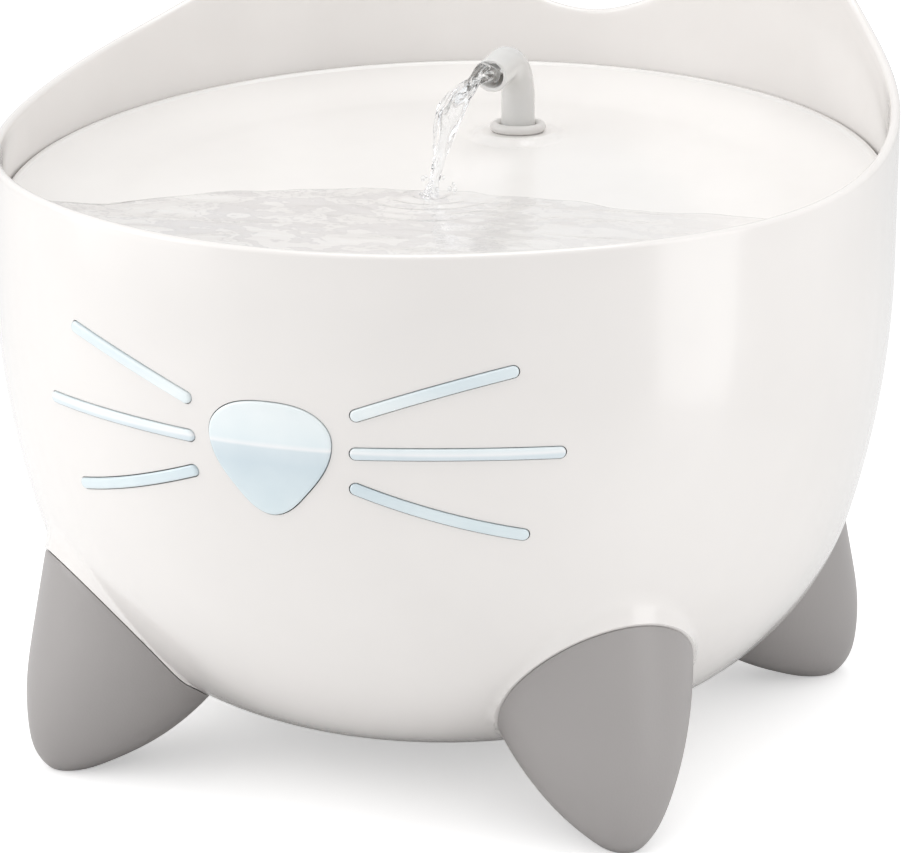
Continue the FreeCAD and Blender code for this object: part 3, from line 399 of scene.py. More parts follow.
def window_finish(name):
    """Pale blue clear plastic, bluer below the water line and lighter above it, with a painted highlight
    along the water line.
    """
    material, nodes, links = nodes_of(name)
    shader = nodes["Principled BSDF"]
    place = object_place(nodes)
    height = spread(nodes, links, object_axis(nodes, links, "Z"), 0.0, 1.0, *WINDOW_SPAN)
    # The height ramp paints a bright highlight along the water line.
    tint = ramp(nodes, links, height, [(position, shade(colour)) for position, colour in WINDOW_TINTS_AND_HIGHLIGHT])
    cloud = noise(nodes, links, place, 90.0, 2.0)
    cloud = ramp(nodes, links, cloud, [(0.3, (0.93, 0.95, 0.96)), (0.7, WHITE[:3])])
    links.new(mixed(nodes, links, 1.0, tint, cloud, "MULTIPLY"), shader.inputs["Base Color"])
    gloss = noise(nodes, links, place, 150.0)
    links.new(spread(nodes, links, gloss, 0.08, 0.16), shader.inputs["Roughness"])
    waviness = noise(nodes, links, place, 260.0, 2.0)
    links.new(bumped(nodes, links, waviness, 0.05), shader.inputs["Normal"])
    shader.inputs["Coat Weight"].default_value = 0.6
    shader.inputs["Coat Roughness"].default_value = 0.05
    shader.inputs["Transmission Weight"].default_value = 0.04
    shader.inputs["IOR"].default_value = ACRYLIC_IOR
    return material


def pool_finish(name):
    """A thin sheet of clear water over white: faint grey patches and lines painted in as the ripples' shade
    and reflections, bright flecks between them, fading toward the right as a painted highlight, and gloss at
    a glance.
    """
    material, nodes, links = nodes_of(name)
    nodes.remove(nodes["Principled BSDF"])
    stretched = stretched_place(nodes, links, (0.85, 1.15, 1.0))
    # Grey patches and lines painted into the clear water stand for the ripples' shade and reflections.
    light, painted_ripple_shade, line = WHITE[:3], (0.90, 0.895, 0.905), (0.84, 0.835, 0.85)
    tint = ramp(nodes, links, noise(nodes, links, stretched, 58.0, 4.0, 0.55),
                [(0.41, light), (0.425, line), (0.44, light), (0.475, light), (0.49, line), (0.505, painted_ripple_shade),
                 (0.555, painted_ripple_shade), (0.57, line), (0.585, light)])
    # Toward the right the painted patches fade out, a painted highlight that washes them out.
    highlight_fade = spread(nodes, links, object_axis(nodes, links, "X"), 0.0, 0.75, *POOL_HIGHLIGHT_FADE)
    tint = mixed(nodes, links, highlight_fade, tint, WHITE)
    inside = nodes.new("ShaderNodeNewGeometry").outputs["Backfacing"]
    clear = nodes.new("ShaderNodeBsdfTransparent")
    links.new(mixed(nodes, links, inside, tint, WHITE), clear.inputs["Color"])
    gloss = nodes.new("ShaderNodeBsdfGlossy")
    gloss.inputs["Roughness"].default_value = 0.04
    normal = bumped(nodes, links, noise(nodes, links, stretched, 210.0, 2.0), 0.25)
    links.new(normal, gloss.inputs["Normal"])
    glance = nodes.new("ShaderNodeLayerWeight")
    glance.inputs["Blend"].default_value = 0.22
    links.new(normal, glance.inputs["Normal"])
    share = nodes.new("ShaderNodeMapRange")
    share.inputs["To Max"].default_value = 0.0
    links.new(inside, share.inputs["Value"])
    links.new(glance.outputs["Fresnel"], share.inputs["To Min"])
    mixed_shader(nodes, links, share.outputs["Result"], clear.outputs[0], gloss.outputs[0])
    return material


def stream_finish(name):
    """Clear falling water that bends what is behind it and throws only a faint shadow."""
    material, nodes, links = nodes_of(name)
    shader = nodes["Principled BSDF"]
    shader.inputs["Base Color"].default_value = (0.97, 0.98, 0.99, 1.0)
    shader.inputs["Transmission Weight"].default_value = 1.0
    shader.inputs["IOR"].default_value = WATER_IOR
    shader.inputs["Roughness"].default_value = 0.02
    stretched = stretched_place(nodes, links, (1.6, 1.0, 0.5))
    normal = bumped(nodes, links, noise(nodes, links, stretched, 320.0, 2.0), 0.3)
    links.new(normal, shader.inputs["Normal"])
    clear = nodes.new("ShaderNodeBsdfTransparent")
    clear.inputs["Color"].default_value = (0.93, 0.94, 0.95, 1.0)
    shadow = nodes.new("ShaderNodeLightPath").outputs["Is Shadow Ray"]
    mixed_shader(nodes, links, shadow, shader.outputs[0], clear.outputs[0])
    return material


WATERS = {"pool_water": pool_finish, "stream_water": stream_finish}
LOOKS = {
    "white_body": dict(colour=(0.925, 0.911, 0.90), rough=0.2, coat=1.0, sub=0.04, grain=0.006),
    "white_dish": dict(colour=(0.935, 0.925, 0.915), rough=0.22, coat=0.6, sub=0.04, grain=0.006),
    "grey_feet": dict(colour=(0.635, 0.62, 0.615), rough=0.36, grain=0.05, grain_scale=1500.0),
    "spout_white": dict(colour=(0.89, 0.885, 0.875), rough=0.22, coat=0.3, sub=0.2, see=0.1),
    "grommet_grey": dict(colour=(0.86, 0.85, 0.84), rough=0.35, grain=0.05),
    "riser_clear": dict(colour=(0.86, 0.89, 0.91), rough=0.12, see=0.75),
    "seal_rubber": dict(colour=(0.14, 0.14, 0.14), rough=0.6, grain=0.08),
    "housing_smoke": dict(colour=(0.60, 0.645, 0.68), rough=0.18, see=0.35),
    "pump_black": dict(colour=(0.09, 0.09, 0.095), rough=0.38, grain=0.12, grain_scale=1400.0),
    "dial_blue": dict(colour=(0.25, 0.47, 0.68), rough=0.35, grain=0.05),
    "impeller_white": dict(colour=(0.88, 0.88, 0.865), rough=0.35, grain=0.03),
    "magnet_ferrite": dict(colour=(0.17, 0.165, 0.165), rough=0.5, grain=0.2, speckle=(0.30, 0.29, 0.29)),
    "shaft_ceramic": dict(colour=(0.94, 0.93, 0.90), rough=0.12),
    "core_steel": dict(colour=(0.50, 0.50, 0.52), rough=0.34, metal=1.0, grain=0.08),
    "coil_copper": dict(colour=(0.74, 0.42, 0.24), rough=0.3, metal=1.0, grain=0.3, grain_scale=600.0),
    "cup_rubber": dict(colour=(0.36, 0.36, 0.37), rough=0.5, grain=0.04),
    "screw_steel": dict(colour=(0.74, 0.74, 0.75), rough=0.25, metal=1.0, grain=0.05),
    "filter_foam": dict(colour=(0.30, 0.32, 0.35), rough=0.95, grain=1.0, grain_scale=700.0,
                        speckle=(0.16, 0.17, 0.19)),
    "filter_carbon": dict(colour=(0.90, 0.90, 0.88), rough=0.9, grain=0.8, grain_scale=520.0,
                          speckle=(0.16, 0.16, 0.17)),
    "lead_black": dict(colour=(0.075, 0.075, 0.08), rough=0.45, grain=0.08),
    "inlet_black": dict(colour=(0.08, 0.08, 0.085), rough=0.4, grain=0.1, grain_scale=1400.0),
}


def finish(slot):
    """The finish of a slot or of the water, made once."""
    if slot not in FINISHES:
        if slot in WATERS:
            FINISHES[slot] = WATERS[slot](slot)
        elif slot == "window_blue":
            FINISHES[slot] = window_finish(slot + "_finish")
        else:
            FINISHES[slot] = moulded(slot + "_finish", **LOOKS[slot])
    return FINISHES[slot]


# Bowl

side_centre = np.array((RADIUS - SIDE_ARC, BELLY))
base_centre = np.array((0.0, BOTTOM + BASE_ARC))
apart = base_centre - side_centre
distance = float(np.hypot(*apart))
near, far = SIDE_ARC - CORNER_ARC, BASE_ARC - CORNER_ARC
along = (near ** 2 - far ** 2 + distance ** 2) / (2 * distance)
across = math.sqrt(near ** 2 - along ** 2)
unit = apart / distance
corner_centre = side_centre + unit * along + np.array((unit[1], -unit[0])) * across
side_turn = math.atan2(*(corner_centre - side_centre)[::-1])
base_turn = math.atan2(*(corner_centre - base_centre)[::-1])


def wall_radius(height, inset=0.0):
    """The wall's radius at a height, for the outside or a surface inset from it."""
    height = np.asarray(height, float)
    low = base_centre[1] + (BASE_ARC - inset) * math.sin(base_turn)
    high = corner_centre[1] + (CORNER_ARC - inset) * math.sin(side_turn)

    def reach(centre, radius):
        return centre[0] + np.sqrt(np.clip((radius - inset) ** 2 - (height - centre[1]) ** 2, 0, None))

    below = np.where(height >= low, reach(corner_centre, CORNER_ARC), reach(base_centre, BASE_ARC))
    below = np.where(height >= high, reach(side_centre, SIDE_ARC), below)
    return np.where(height >= BELLY, RADIUS - inset, below)


def underside(radius, outset=0.0):
    """The height of the bowl's lower outside at a radius, moved outwards by outset."""
    radius = np.asarray(radius, float)
    low = (BASE_ARC + outset) * math.cos(base_turn)
    high = corner_centre[0] + (CORNER_ARC + outset) * math.cos(side_turn)

    def drop(centre, arc_radius):
        reach = np.clip((arc_radius + outset) ** 2 - (radius - centre[0]) ** 2, 0, None)
        return centre[1] - np.sqrt(reach)

    outer = np.where(radius <= high, drop(corner_centre, CORNER_ARC), drop(side_centre, SIDE_ARC))
    return np.where(radius <= low, drop(base_centre, BASE_ARC), outer)


def rim_curve():
    """The rim's height by angle from the face: low in front, up to the ears, and a dip between them."""
    front = ((0, 0.0), (40, 0.29), (78, 1.0))
    outer = ((105, 0.207), (120, 0.40), (130, 0.604), (142, 0.93), (147.5, 1.0))
    inner = ((153, 0.885), (160, 0.60), (167, 0.27), (173, 0.085), (180, 0.0))
    half = [(angle, RIM_FRONT + share * (RIM_SIDE - RIM_FRONT)) for angle, share in front]
    half += [(angle, RIM_SIDE + share * (EAR_TIP - RIM_SIDE)) for angle, share in outer]
    half += [(angle, RIM_REAR + share * (EAR_TIP - RIM_REAR)) for angle, share in inner]
    ring = half + [(360 - angle, height) for angle, height in reversed(half[1:-1])]
    return curve_through(*zip(*ring), period=360)


rim_height = rim_curve()


def seam_height(angle, radius):
    """The height of the dish's seam plane round the bowl."""
    return SEAM - TILT * radius * np.cos(np.radians(angle))


# Legs: height, outer reach, inner reach and half width of each level section.
LEG_SECTIONS = (
    (0.0, 114.5, 104.5, 4.0), (2.0, 117.3, 96.0, 7.6), (6.0, 119.6, 86.0, 11.8),
    (14.0, 120.8, 74.0, 17.6), (26.0, 120.2, 64.0, 23.4), (40.0, 117.4, 60.0, 27.0),
    (52.0, 114.9, 60.0, 27.6), (60.0, 113.2, 62.0, 26.4), (70.0, 110.4, 66.0, 22.0),
)
levels = np.sqrt([section[0] for section in LEG_SECTIONS])
leg_outer, leg_inner, leg_half = (
    curve_through(levels, [section[i] for section in LEG_SECTIONS]) for i in (1, 2, 3))


def leg_section(height):
    """Middle, reach and half width of a leg's section at a height."""
    level = np.sqrt(np.clip(height, 0, None))
    outer, inner = leg_outer(level), leg_inner(level)
    return (outer + inner) / 2, (outer - inner) / 2, leg_half(level)


BOSS_GROWN = 0.5
BOSS_FILLET = 1.6
BOSS_HALF = 34.0
BOSS_NEAR = 70.0
BOSS_LOW = 22.0
BOSS_HIGH = 82.0
BOSS_TOP = 78.0
BOSS_STEPS = np.linspace(-5.0, 9.0, 57)
SEAM_GAP = 0.1


def arch_height(x):
    """The height, along a leg, of the plane in which a foot meets the swelling over it."""
    return ARCH_HEIGHT + ARCH_SLOPE * (x - ARCH_REACH)


def boss_rise(points, normals):
    """How far each point of the bowl's outside is lifted along its normal by the swellings over the feet."""
    rise = np.zeros(len(points))
    steps = BOSS_STEPS
    for angle in FOOT_ANGLES.values():
        turn = math.radians(angle)
        out = np.array((math.sin(turn), -math.cos(turn), 0.0))
        across = np.array((math.cos(turn), math.sin(turn), 0.0))
        x, y, z = points @ out, points @ across, points[:, 2]
        close = (np.abs(y) < BOSS_HALF) & (x > BOSS_NEAR) & (z > BOSS_LOW) & (z < BOSS_HIGH)
        at = points[close][:, None, :] + normals[close][:, None, :] * steps[None, :, None]
        x, y, z = at @ out, at @ across, at[..., 2]
        middle, reach, half = leg_section(np.minimum(z, BOSS_TOP))
        inside = 1 - ((x - middle) / (reach + BOSS_GROWN)) ** 2 - (y / (half + BOSS_GROWN)) ** 2
        last = np.where(inside > 0, np.arange(len(steps)), -1).max(axis=1)
        row = np.arange(len(last))
        before, after = inside[row, np.clip(last, 0, None)], inside[row, np.clip(last + 1, 0, len(steps) - 1)]
        share = np.where(before - after > 1e-9, before / (before - after + 1e-12), 0)
        past = (last + np.clip(share, 0, 1)) * (steps[1] - steps[0])
        height = np.where(last < 0, steps[0], steps[0] + past)
        lifted = soft_max(height, 0.0, BOSS_FILLET)
        moved = points[close] + normals[close] * lifted[:, None]
        kept = smooth_step((moved[:, 2] - arch_height(moved @ out) + 5) / 3)
        rise[close] = np.maximum(rise[close], lifted * kept)
    return rise


def bowl_columns():
    """Angles round the bowl, closer together over the feet."""
    turns, turn = [], -180.0
    while turn < 180.0 - 1e-6:
        turns.append(turn)
        over_foot = min(abs(turn - angle) for angle in FOOT_ANGLES.values()) < 17
        turn += 0.5 if over_foot else 1.0
    return np.array(turns)


def bowl_surface():
    """The bowl: up the outside with its swellings, over the rim, and down the inside past the ledge."""
    turns = bowl_columns()
    radians = np.radians(turns)
    out = stacked(np.sin(radians), -np.cos(radians), 0.0)
    up = np.array((0.0, 0.0, 1.0))
    rim = rim_height(turns)
    rings = []

    def ring(radius, height, normal=None):
        wide, high = (np.broadcast_to(given, turns.shape)[:, None] for given in (radius, height))
        points = out * wide + up * high
        if normal is not None:
            normals = out * normal[0] + up * normal[1]
            points = points + normals * boss_rise(points, normals)[:, None]
        rings.append(points)

    def arcs(inset, spacing):
        """Section points from the bottom to the belly, with their normals."""
        found = []
        for centre, radius, start, end in ((base_centre, BASE_ARC, -math.pi / 2 + 0.012, base_turn),
                                           (corner_centre, CORNER_ARC, base_turn, side_turn),
                                           (side_centre, SIDE_ARC, side_turn, 0.0)):
            count = max(4, round((end - start) * radius / spacing))
            for angle in np.linspace(start, end, count, endpoint=False):
                normal = (math.cos(angle), math.sin(angle))
                reach = radius - inset
                found.append((centre[0] + reach * normal[0], centre[1] + reach * normal[1], normal))
        return found

    for radius, height, normal in arcs(0.0, 1.6):
        ring(radius, height, normal)
    lip = WALL / 2
    for share in np.linspace(0, 1, 18):
        ring(RADIUS, BELLY + share * (rim - lip - BELLY))
    for radius, height in arc((RADIUS - lip, 0.0), lip, 0, 180, 8)[1:-1]:
        ring(radius, rim - lip + height)
    inner = RADIUS - WALL
    ledge_top = seam_height(turns, inner) - SKIRT - LEDGE_GAP
    width = LEDGE_WIDTH * smooth_step((np.abs(turns) - LEDGE_OPENING) / 1.5)
    for share in np.linspace(0, 1, 16):
        height = rim - lip + share * (ledge_top - rim + lip)
        ring(wall_radius(height, WALL), height)
    for drop in (0.0, LEDGE_DEPTH):
        height = ledge_top - drop
        ring(wall_radius(height, WALL) - width, height)
    height = ledge_top - LEDGE_DEPTH
    ring(wall_radius(height, WALL), height)
    for share in np.linspace(0, 1, 6)[1:]:
        level = height + share * (INSIDE_BREAK - height)
        ring(wall_radius(level, WALL), level)
    for radius, level, _ in reversed(arcs(WALL, 4.0)):
        if level < INSIDE_BREAK - 2:
            ring(radius, level)
    return skin(rings)


# Feet

FOOT_MIDDLE = np.array((90.0, 0.0))
ARCH_START = 81.0
ARCH_FADE = 9.0


def cap_height(x, y, clear, outset):
    """The height of a foot's top along and across its leg: under the arch plane and under the bowl."""
    arch = arch_height(x) + clear
    radius = np.hypot(x, y)
    edge = RADIUS - 2
    below_bowl = np.where(radius < edge, underside(np.minimum(radius, edge), outset), arch)
    return below_bowl + smooth_step((x - ARCH_START) / ARCH_FADE) * np.minimum(arch - below_bowl, 0.0)


def leg_block(angle, grown, clear, outset, round_edge):
    """A leg from the floor up to the arch plane and the bowl: a foot, or the room that is cut for it."""
    turns = np.linspace(0, 2 * math.pi, 160, endpoint=False)
    heights = np.arange(0.0, 76.0, 0.2)

    def on_leg(height):
        middle, reach, half = leg_section(height)
        return middle + (reach + grown) * np.cos(turns), (half + grown) * np.sin(turns)

    over = np.array([height - cap_height(*on_leg(height), clear, outset) for height in heights])
    first = np.argmax(over > 0, axis=0)
    column = np.arange(len(turns))
    before, after = over[first - 1, column], over[first, column]
    seam = heights[first - 1] + (heights[1] - heights[0]) * before / (before - after)
    rings = []
    sole_x, sole_y = on_leg(0.0)
    sole_middle = sole_x.mean()
    for share in (0.35, 0.7, 0.92):
        rings.append(stacked(sole_middle + share * (sole_x - sole_middle), share * sole_y, 0.0))
    for share in np.linspace(0, 1, 60) ** 1.8:
        height = share * (seam - round_edge)
        x, y = on_leg(height)
        rings.append(stacked(x, y, height))
    top = stacked(*on_leg(seam))
    towards = FOOT_MIDDLE - top
    towards = towards / np.linalg.norm(towards, axis=1)[:, None]
    for turn in (25, 50, 90):
        inset = round_edge * (1 - math.cos(math.radians(turn)))
        drop = round_edge * (1 - math.sin(math.radians(turn)))
        flat = top + towards * inset
        height = np.minimum(cap_height(flat[:, 0], flat[:, 1], clear, outset), seam + inset * 1.5)
        rings.append(stacked(flat[:, 0], flat[:, 1], height - drop))
    rim = rings[-1][:, :2]
    for share in (0.97, 0.94, 0.9, 0.85, 0.8, 0.7, 0.6, 0.45, 0.3, 0.15):
        flat = FOOT_MIDDLE + (rim - FOOT_MIDDLE) * share
        rings.append(stacked(flat[:, 0], flat[:, 1], cap_height(flat[:, 0], flat[:, 1], clear, outset)))
    points, faces = skin(rings)
    spin = math.radians(angle - 90)
    turn = np.array(((math.cos(spin), math.sin(spin), 0), (-math.sin(spin), math.cos(spin), 0), (0, 0, 1)))
    return np.array(points) @ turn, faces


# Windows in the face

def closed_curve(points, count):
    """Evenly spread points on a closed smooth curve through the given ones."""
    points = np.array(points)
    chords = np.linalg.norm(np.roll(points, -1, axis=0) - points, axis=1)
    knots = np.concatenate(((0.0,), np.cumsum(chords)[:-1]))
    whole = chords.sum()
    at = np.linspace(0, whole, count, endpoint=False)
    return stacked(*(curve_through(knots, points[:, axis], period=whole)(at) for axis in (0, 1)))


def nose_outline(count=120):
    """The nose: a rounded triangle that stands on its tip."""
    half_width, height, top = 16.2, 29.7, 121.5
    shape = ((0.0, 1.0), (0.43, 0.98), (0.78, 0.90), (0.975, 0.765), (0.98, 0.58), (0.81, 0.377),
             (0.545, 0.195), (0.26, 0.047), (0.0, 0.0))
    half = [(half_width * x, top - height * (1 - up)) for x, up in shape]
    return closed_curve(half + [(-x, z) for x, z in reversed(half[1:-1])], count)


WHISKER_HALF = 1.6
# Whiskers: angle and height of the inner and the outer end, and the bow between them.
WHISKERS = {
    "upper": ((10.0, 119.2), (29.4, 131.4), 0.7),
    "middle": ((9.9, 109.8), (35.0, 109.8), 0.4),
    "lower": ((9.9, 101.0), (30.7, 88.0), -0.7),
}


def whisker_outline(row, count=40):
    """A whisker's outline about its own middle angle: a slightly bowed bar with round ends."""
    (start, start_height), (end, end_height), bow = WHISKERS[row]
    half = RADIUS * math.sin(math.radians((end - start) / 2))
    inner, outer = np.array((-half, start_height)), np.array((half, end_height))
    along = (outer - inner) / np.linalg.norm(outer - inner)
    normal = np.array((-along[1], along[0]))
    inner, outer = inner + along * WHISKER_HALF, outer - along * WHISKER_HALF
    share = np.linspace(0, 1, count)[:, None]
    middle = inner + (outer - inner) * share + normal * bow * 4 * share * (1 - share)
    turns = np.linspace(math.pi / 2, -math.pi / 2, BAR_CAP + 2)[1:-1]
    cap = np.array([along * math.cos(turn) + normal * math.sin(turn) for turn in turns]) * WHISKER_HALF
    upper, lower = middle + normal * WHISKER_HALF, (middle - normal * WHISKER_HALF)[::-1]
    return np.concatenate((upper, outer + cap, lower, inner - cap))


def inward(outline):
    """Unit directions that point into a closed outline."""
    along = np.roll(outline, -1, axis=0) - np.roll(outline, 1, axis=0)
    normal = stacked(-along[:, 1], along[:, 0]) / np.linalg.norm(along, axis=1)[:, None]
    x, z = outline[:, 0], outline[:, 1]
    area = np.sum(x * np.roll(z, -1) - z * np.roll(x, -1))
    return normal * np.sign(area)


def on_wall(outline, outset, turn):
    """Points of a flat outline carried onto the wall, moved out of it by outset, about an angle."""
    x, z = outline[:, 0], outline[:, 1]
    y = -np.sqrt(wall_radius(z, -outset) ** 2 - x ** 2)
    spin = math.radians(turn)
    return stacked(x * math.cos(spin) - y * math.sin(spin), x * math.sin(spin) + y * math.cos(spin), z)


# Window edge: inset from the outline and rise out of the wall, from behind to the face.
WINDOW_EDGE = (
    (0.12, -2.5), (0.12, -1.0), (0.12, 0.2), (0.17, 0.42), (0.3, 0.6), (0.5, 0.7), (0.8, 0.75), (1.2, 0.76),
)
OPENING_GAP = 0.12


def window_surface(outline, turn):
    """A clear insert: straight in the wall, with a rounded rim that stands a little proud."""
    into = inward(outline)
    rings = [on_wall(outline + into * inset, outset, turn) for inset, outset in WINDOW_EDGE]
    last, centre = outline + into * WINDOW_EDGE[-1][0], outline.mean(axis=0)
    if not turn:
        for share in (0.75, 0.5, 0.25):
            rings.append(on_wall(centre + (last - centre) * share, 0.8, turn))
        behind = outline + into * 0.15 - centre
        back = [on_wall(centre + behind * share, -2.5, turn) for share in (0.3, 0.7)]
        return skin(back + rings)
    return skin(rings, bar=True)


def window_cutter(outline, turn):
    """The opening for a window, a little larger than its outline."""
    into = inward(outline)
    return skin([on_wall(outline - into * OPENING_GAP, outset, turn) for outset in (-4.0, -1.5, 3.0)])


windows = {"nose_window": (nose_outline(), 0.0)}
for side_name, sign in (("left", -1), ("right", 1)):
    for row_name, (start, end, _) in WHISKERS.items():
        shape = whisker_outline(row_name) * np.array((sign, 1))
        windows[f"whisker_{side_name}_{row_name}"] = (shape, sign * (start[0] + end[0]) / 2)

cutters = [window_cutter(*window) for window in windows.values()]
INLET_BORE = 5.6
INLET_COUNTERBORE = 8.3
inlet_cut = [(INLET_BORE, RADIUS - 6), (INLET_BORE, RADIUS - 1.3), (INLET_COUNTERBORE, RADIUS - 1.3),
             (INLET_COUNTERBORE, RADIUS + 4)]
cutters.append(lathe(inlet_cut, (0, 0, INLET_HEIGHT), 64, "y"))
LEG_POCKET = 1.7
for angle in FOOT_ANGLES.values():
    cutters.append(leg_block(angle, LEG_POCKET, SEAM_GAP, 0.03, 0.01))
bowl = piece("reservoir_bowl", bowl_surface(), "bowl", "white_body", cutters)
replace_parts(bowl, "reservoir")
for name, window in windows.items():
    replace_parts(piece(name + "_lens", window_surface(*window), "bowl", "window_blue"), name)

housing_low, housing_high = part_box("filter_housing")
seat_centre = (0.0, (housing_low.y + housing_high.y) / 2 / MM, 0.0)


def seat_surface():
    """The flat round seat that the pump's cups hold to, grown out of the bowl's curved floor."""
    turns = np.linspace(0, 2 * math.pi, 96, endpoint=False)
    rings = []
    for share in (0.3, 0.7, 1.0):
        x, y = share * SEAT_RADIUS * np.cos(turns), share * SEAT_RADIUS * np.sin(turns) + seat_centre[1]
        rings.append(stacked(x, y, underside(np.hypot(x, y), -WALL) - 1.0))
    for radius, height in arc((SEAT_RADIUS - 1, SEAT_TOP - 1), 1.0, 0, 90, 5):
        rings.append(stacked(radius * np.cos(turns), radius * np.sin(turns) + seat_centre[1], height))
    return skin(rings)


piece("pump_seat", seat_surface(), "bowl", "white_body")


# Feet

for name, angle in FOOT_ANGLES.items():
    spin = math.radians(angle)
    well_place = (POST_REACH * math.sin(spin), -POST_REACH * math.cos(spin), 0.0)
    well = lathe([(SCREW_WELL, -2.0), (SCREW_WELL, SCREW_WELL_TOP)], well_place, 48)
    shoe = leg_block(angle, 0.0, -SEAM_GAP, 0.15, 0.35)
    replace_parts(piece(name + "_shoe", shoe, "bowl", "grey_feet", [well], crease=50.0), name)


# Drinking dish

def dish_top(angle, radius):
    """The height of the dish's upper face: a flat floor, a slope up to the wall and a pad round the spout."""
    angle, radius = np.broadcast_arrays(angle, radius)
    slope = DISH_DEPTH / (DISH_RADIUS - DISH_FLOOR)
    soft = 7.0
    past = radius - DISH_FLOOR
    climb = np.where(past > soft, past, np.where(past < -soft, 0, (past + soft) ** 2 / (4 * soft)))
    height = seam_height(angle, radius) - DISH_DEPTH + slope * climb
    x, y = radius * np.sin(np.radians(angle)), -radius * np.cos(np.radians(angle))
    from_spout = np.hypot(x, y - SPOUT_BACK)
    pad = smooth_step((PAD_RADIUS + 2.2 - from_spout) / 2.4)
    return height + pad * np.clip(PAD_TOP - height, 0, None)


def dish_surface():
    """The dish: out along its face, over its lip with the weirs in front, down its skirt and back beneath."""
    turns = np.arange(-180.0, 180.0, 1.5)
    corners = [side * WEIR_HALF + shift for side in (-1, 1) for shift in (-0.12, 0.12)]
    edges = [middle + corner for middle in WEIR_TURNS for corner in corners]
    turns = np.unique(np.round(np.concatenate((turns, edges)), 3))
    radians = np.radians(turns)
    lip = np.maximum(seam_height(turns, DISH_RADIUS), FRONT_LIP)
    for middle in WEIR_TURNS:
        lip = np.where(np.abs(turns - middle) < WEIR_HALF, np.minimum(lip, WEIR), lip)
    inner = DISH_RADIUS - DISH_SKIN
    rings = []

    def ring(radius, height):
        rings.append(stacked(radius * np.sin(radians), -radius * np.cos(radians), height))

    spans = (np.arange(3.0, 44.0, 3.0), np.arange(44.0, 74.0, 1.0), np.arange(74.0, inner - 1, 2.0))
    for radius in np.concatenate(spans):
        ring(radius, dish_top(turns, radius))
    foot = dish_top(turns, inner - 0.6)
    ring(inner - 0.6, foot)
    for share in (0.15, 0.5, 0.85):
        ring(inner - 0.25 + 0.25 * share, foot + 0.1 + share * np.clip(lip - 0.5 - foot, 0.02, None))
    rounding = ((inner + 0.1, -0.35), (inner + 0.3, -0.08), (inner + 0.6, 0.0), (DISH_RADIUS - 0.7, 0.0),
                (DISH_RADIUS - 0.35, -0.1), (DISH_RADIUS - 0.08, -0.35))
    for radius, height in rounding:
        ring(radius, lip + height)
    base = seam_height(turns, DISH_RADIUS) - SKIRT
    ring(DISH_RADIUS, (lip + base) / 2)
    for radius, height in ((DISH_RADIUS, 0.4), (DISH_RADIUS - 0.3, 0.0), (inner + 0.3, 0.0), (inner, 0.4)):
        ring(radius, base + height)
    ring(inner, dish_top(turns, inner) - DISH_SKIN - 0.4)
    for radius in (inner - 1, DISH_FLOOR, 78.0, 60.0, 40.0, 20.0, 5.0):
        lift = 0.0 if radius <= DISH_FLOOR else 3.6
        ring(radius, seam_height(turns, radius) - DISH_DEPTH - DISH_SKIN + lift)
    return skin(rings)


socket_cut = lathe([(SOCKET_RADIUS, 120.0), (SOCKET_RADIUS, 170.0)], (0, SPOUT_BACK, 0), 64)
dish = piece("dish_tray", dish_surface(), "dish", "white_dish", [socket_cut], crease=45.0)
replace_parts(dish, "drinking_dish")
SOCKET_LOW = 138.0
SOCKET_HIGH = 150.0
socket_outline = [(SOCKET_RADIUS, SOCKET_LOW), (SOCKET_RADIUS + 2.3, SOCKET_LOW),
                  (SOCKET_RADIUS + 2.6, SOCKET_LOW + 0.3), (SOCKET_RADIUS + 2.6, SOCKET_HIGH),
                  (SOCKET_RADIUS, SOCKET_HIGH)]


def tube_of(outline, centre, turns=64):
    """A closed ring-shaped surface of revolution from a closed outline."""
    turn = np.linspace(0, 2 * math.pi, turns, endpoint=False)
    points = []
    for radius, height in outline:
        points += list(stacked(radius * np.cos(turn), radius * np.sin(turn), height) + np.array(centre))
    return points, band(len(outline), turns, closed=True)


piece("dish_socket", tube_of(socket_outline, (0, SPOUT_BACK, 0)), "dish", "white_dish")

# Ring round the spout's foot
RING_THICK = 2.5
RING_MIDDLE = 6.55
RING_BORE = 4.9
RING_NECK = 6.2
RING_DEPTH = 4.8
ring_outline = arc((RING_MIDDLE, PAD_TOP + RING_THICK / 2 + 0.05), RING_THICK / 2 + 0.1, -90, 180, 16)
ring_outline += [(RING_BORE, PAD_TOP), (RING_BORE, PAD_TOP - RING_DEPTH), (RING_NECK, PAD_TOP - RING_DEPTH),
                 (RING_NECK, PAD_TOP - 0.1)]
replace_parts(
    piece("grommet_ring", tube_of(ring_outline, (0, SPOUT_BACK, 0), 96), "dish", "grommet_grey"),
    "spout_grommet")


# Water

SEED = 7
WAVE_COUNT = 26
DROP_COUNT = 9
LANDING = np.array((-3.0, -3.0))
POOL_MIDDLE = (0.0, -58.0)
POOL_EDGE_FILM = 0.12
MENISCUS = 2.6
MENISCUS_WIDTH = 12.0
generator = np.random.default_rng(SEED)


def wave():
    """A random wave's heading, frequency, phase and size."""
    heading = generator.uniform(0, 2 * math.pi)
    frequency = 2 * math.pi / generator.uniform(7, 26)
    phase = generator.uniform(0, 2 * math.pi)
    return heading, frequency, phase, generator.uniform(0.4, 1.0)


WAVES = [wave() for _ in range(WAVE_COUNT)]


def ripple(x, y):
    """Small crossing waves, and rings that spread from where the stream lands."""
    height = np.zeros(np.shape(x))
    for heading, frequency, phase, size in WAVES:
        along = x * math.cos(heading) * 0.6 + y * math.sin(heading) * 1.5
        bent = along * frequency + phase + 0.8 * np.sin(x * 0.09 + phase)
        height = height + size * np.sin(bent) / (frequency * WAVE_COUNT)
    from_landing = np.hypot(x - LANDING[0], y - LANDING[1])
    rings = 0.5 * np.cos(from_landing * 1.05) * np.exp(-from_landing / 13)
    return 0.34 * height + rings


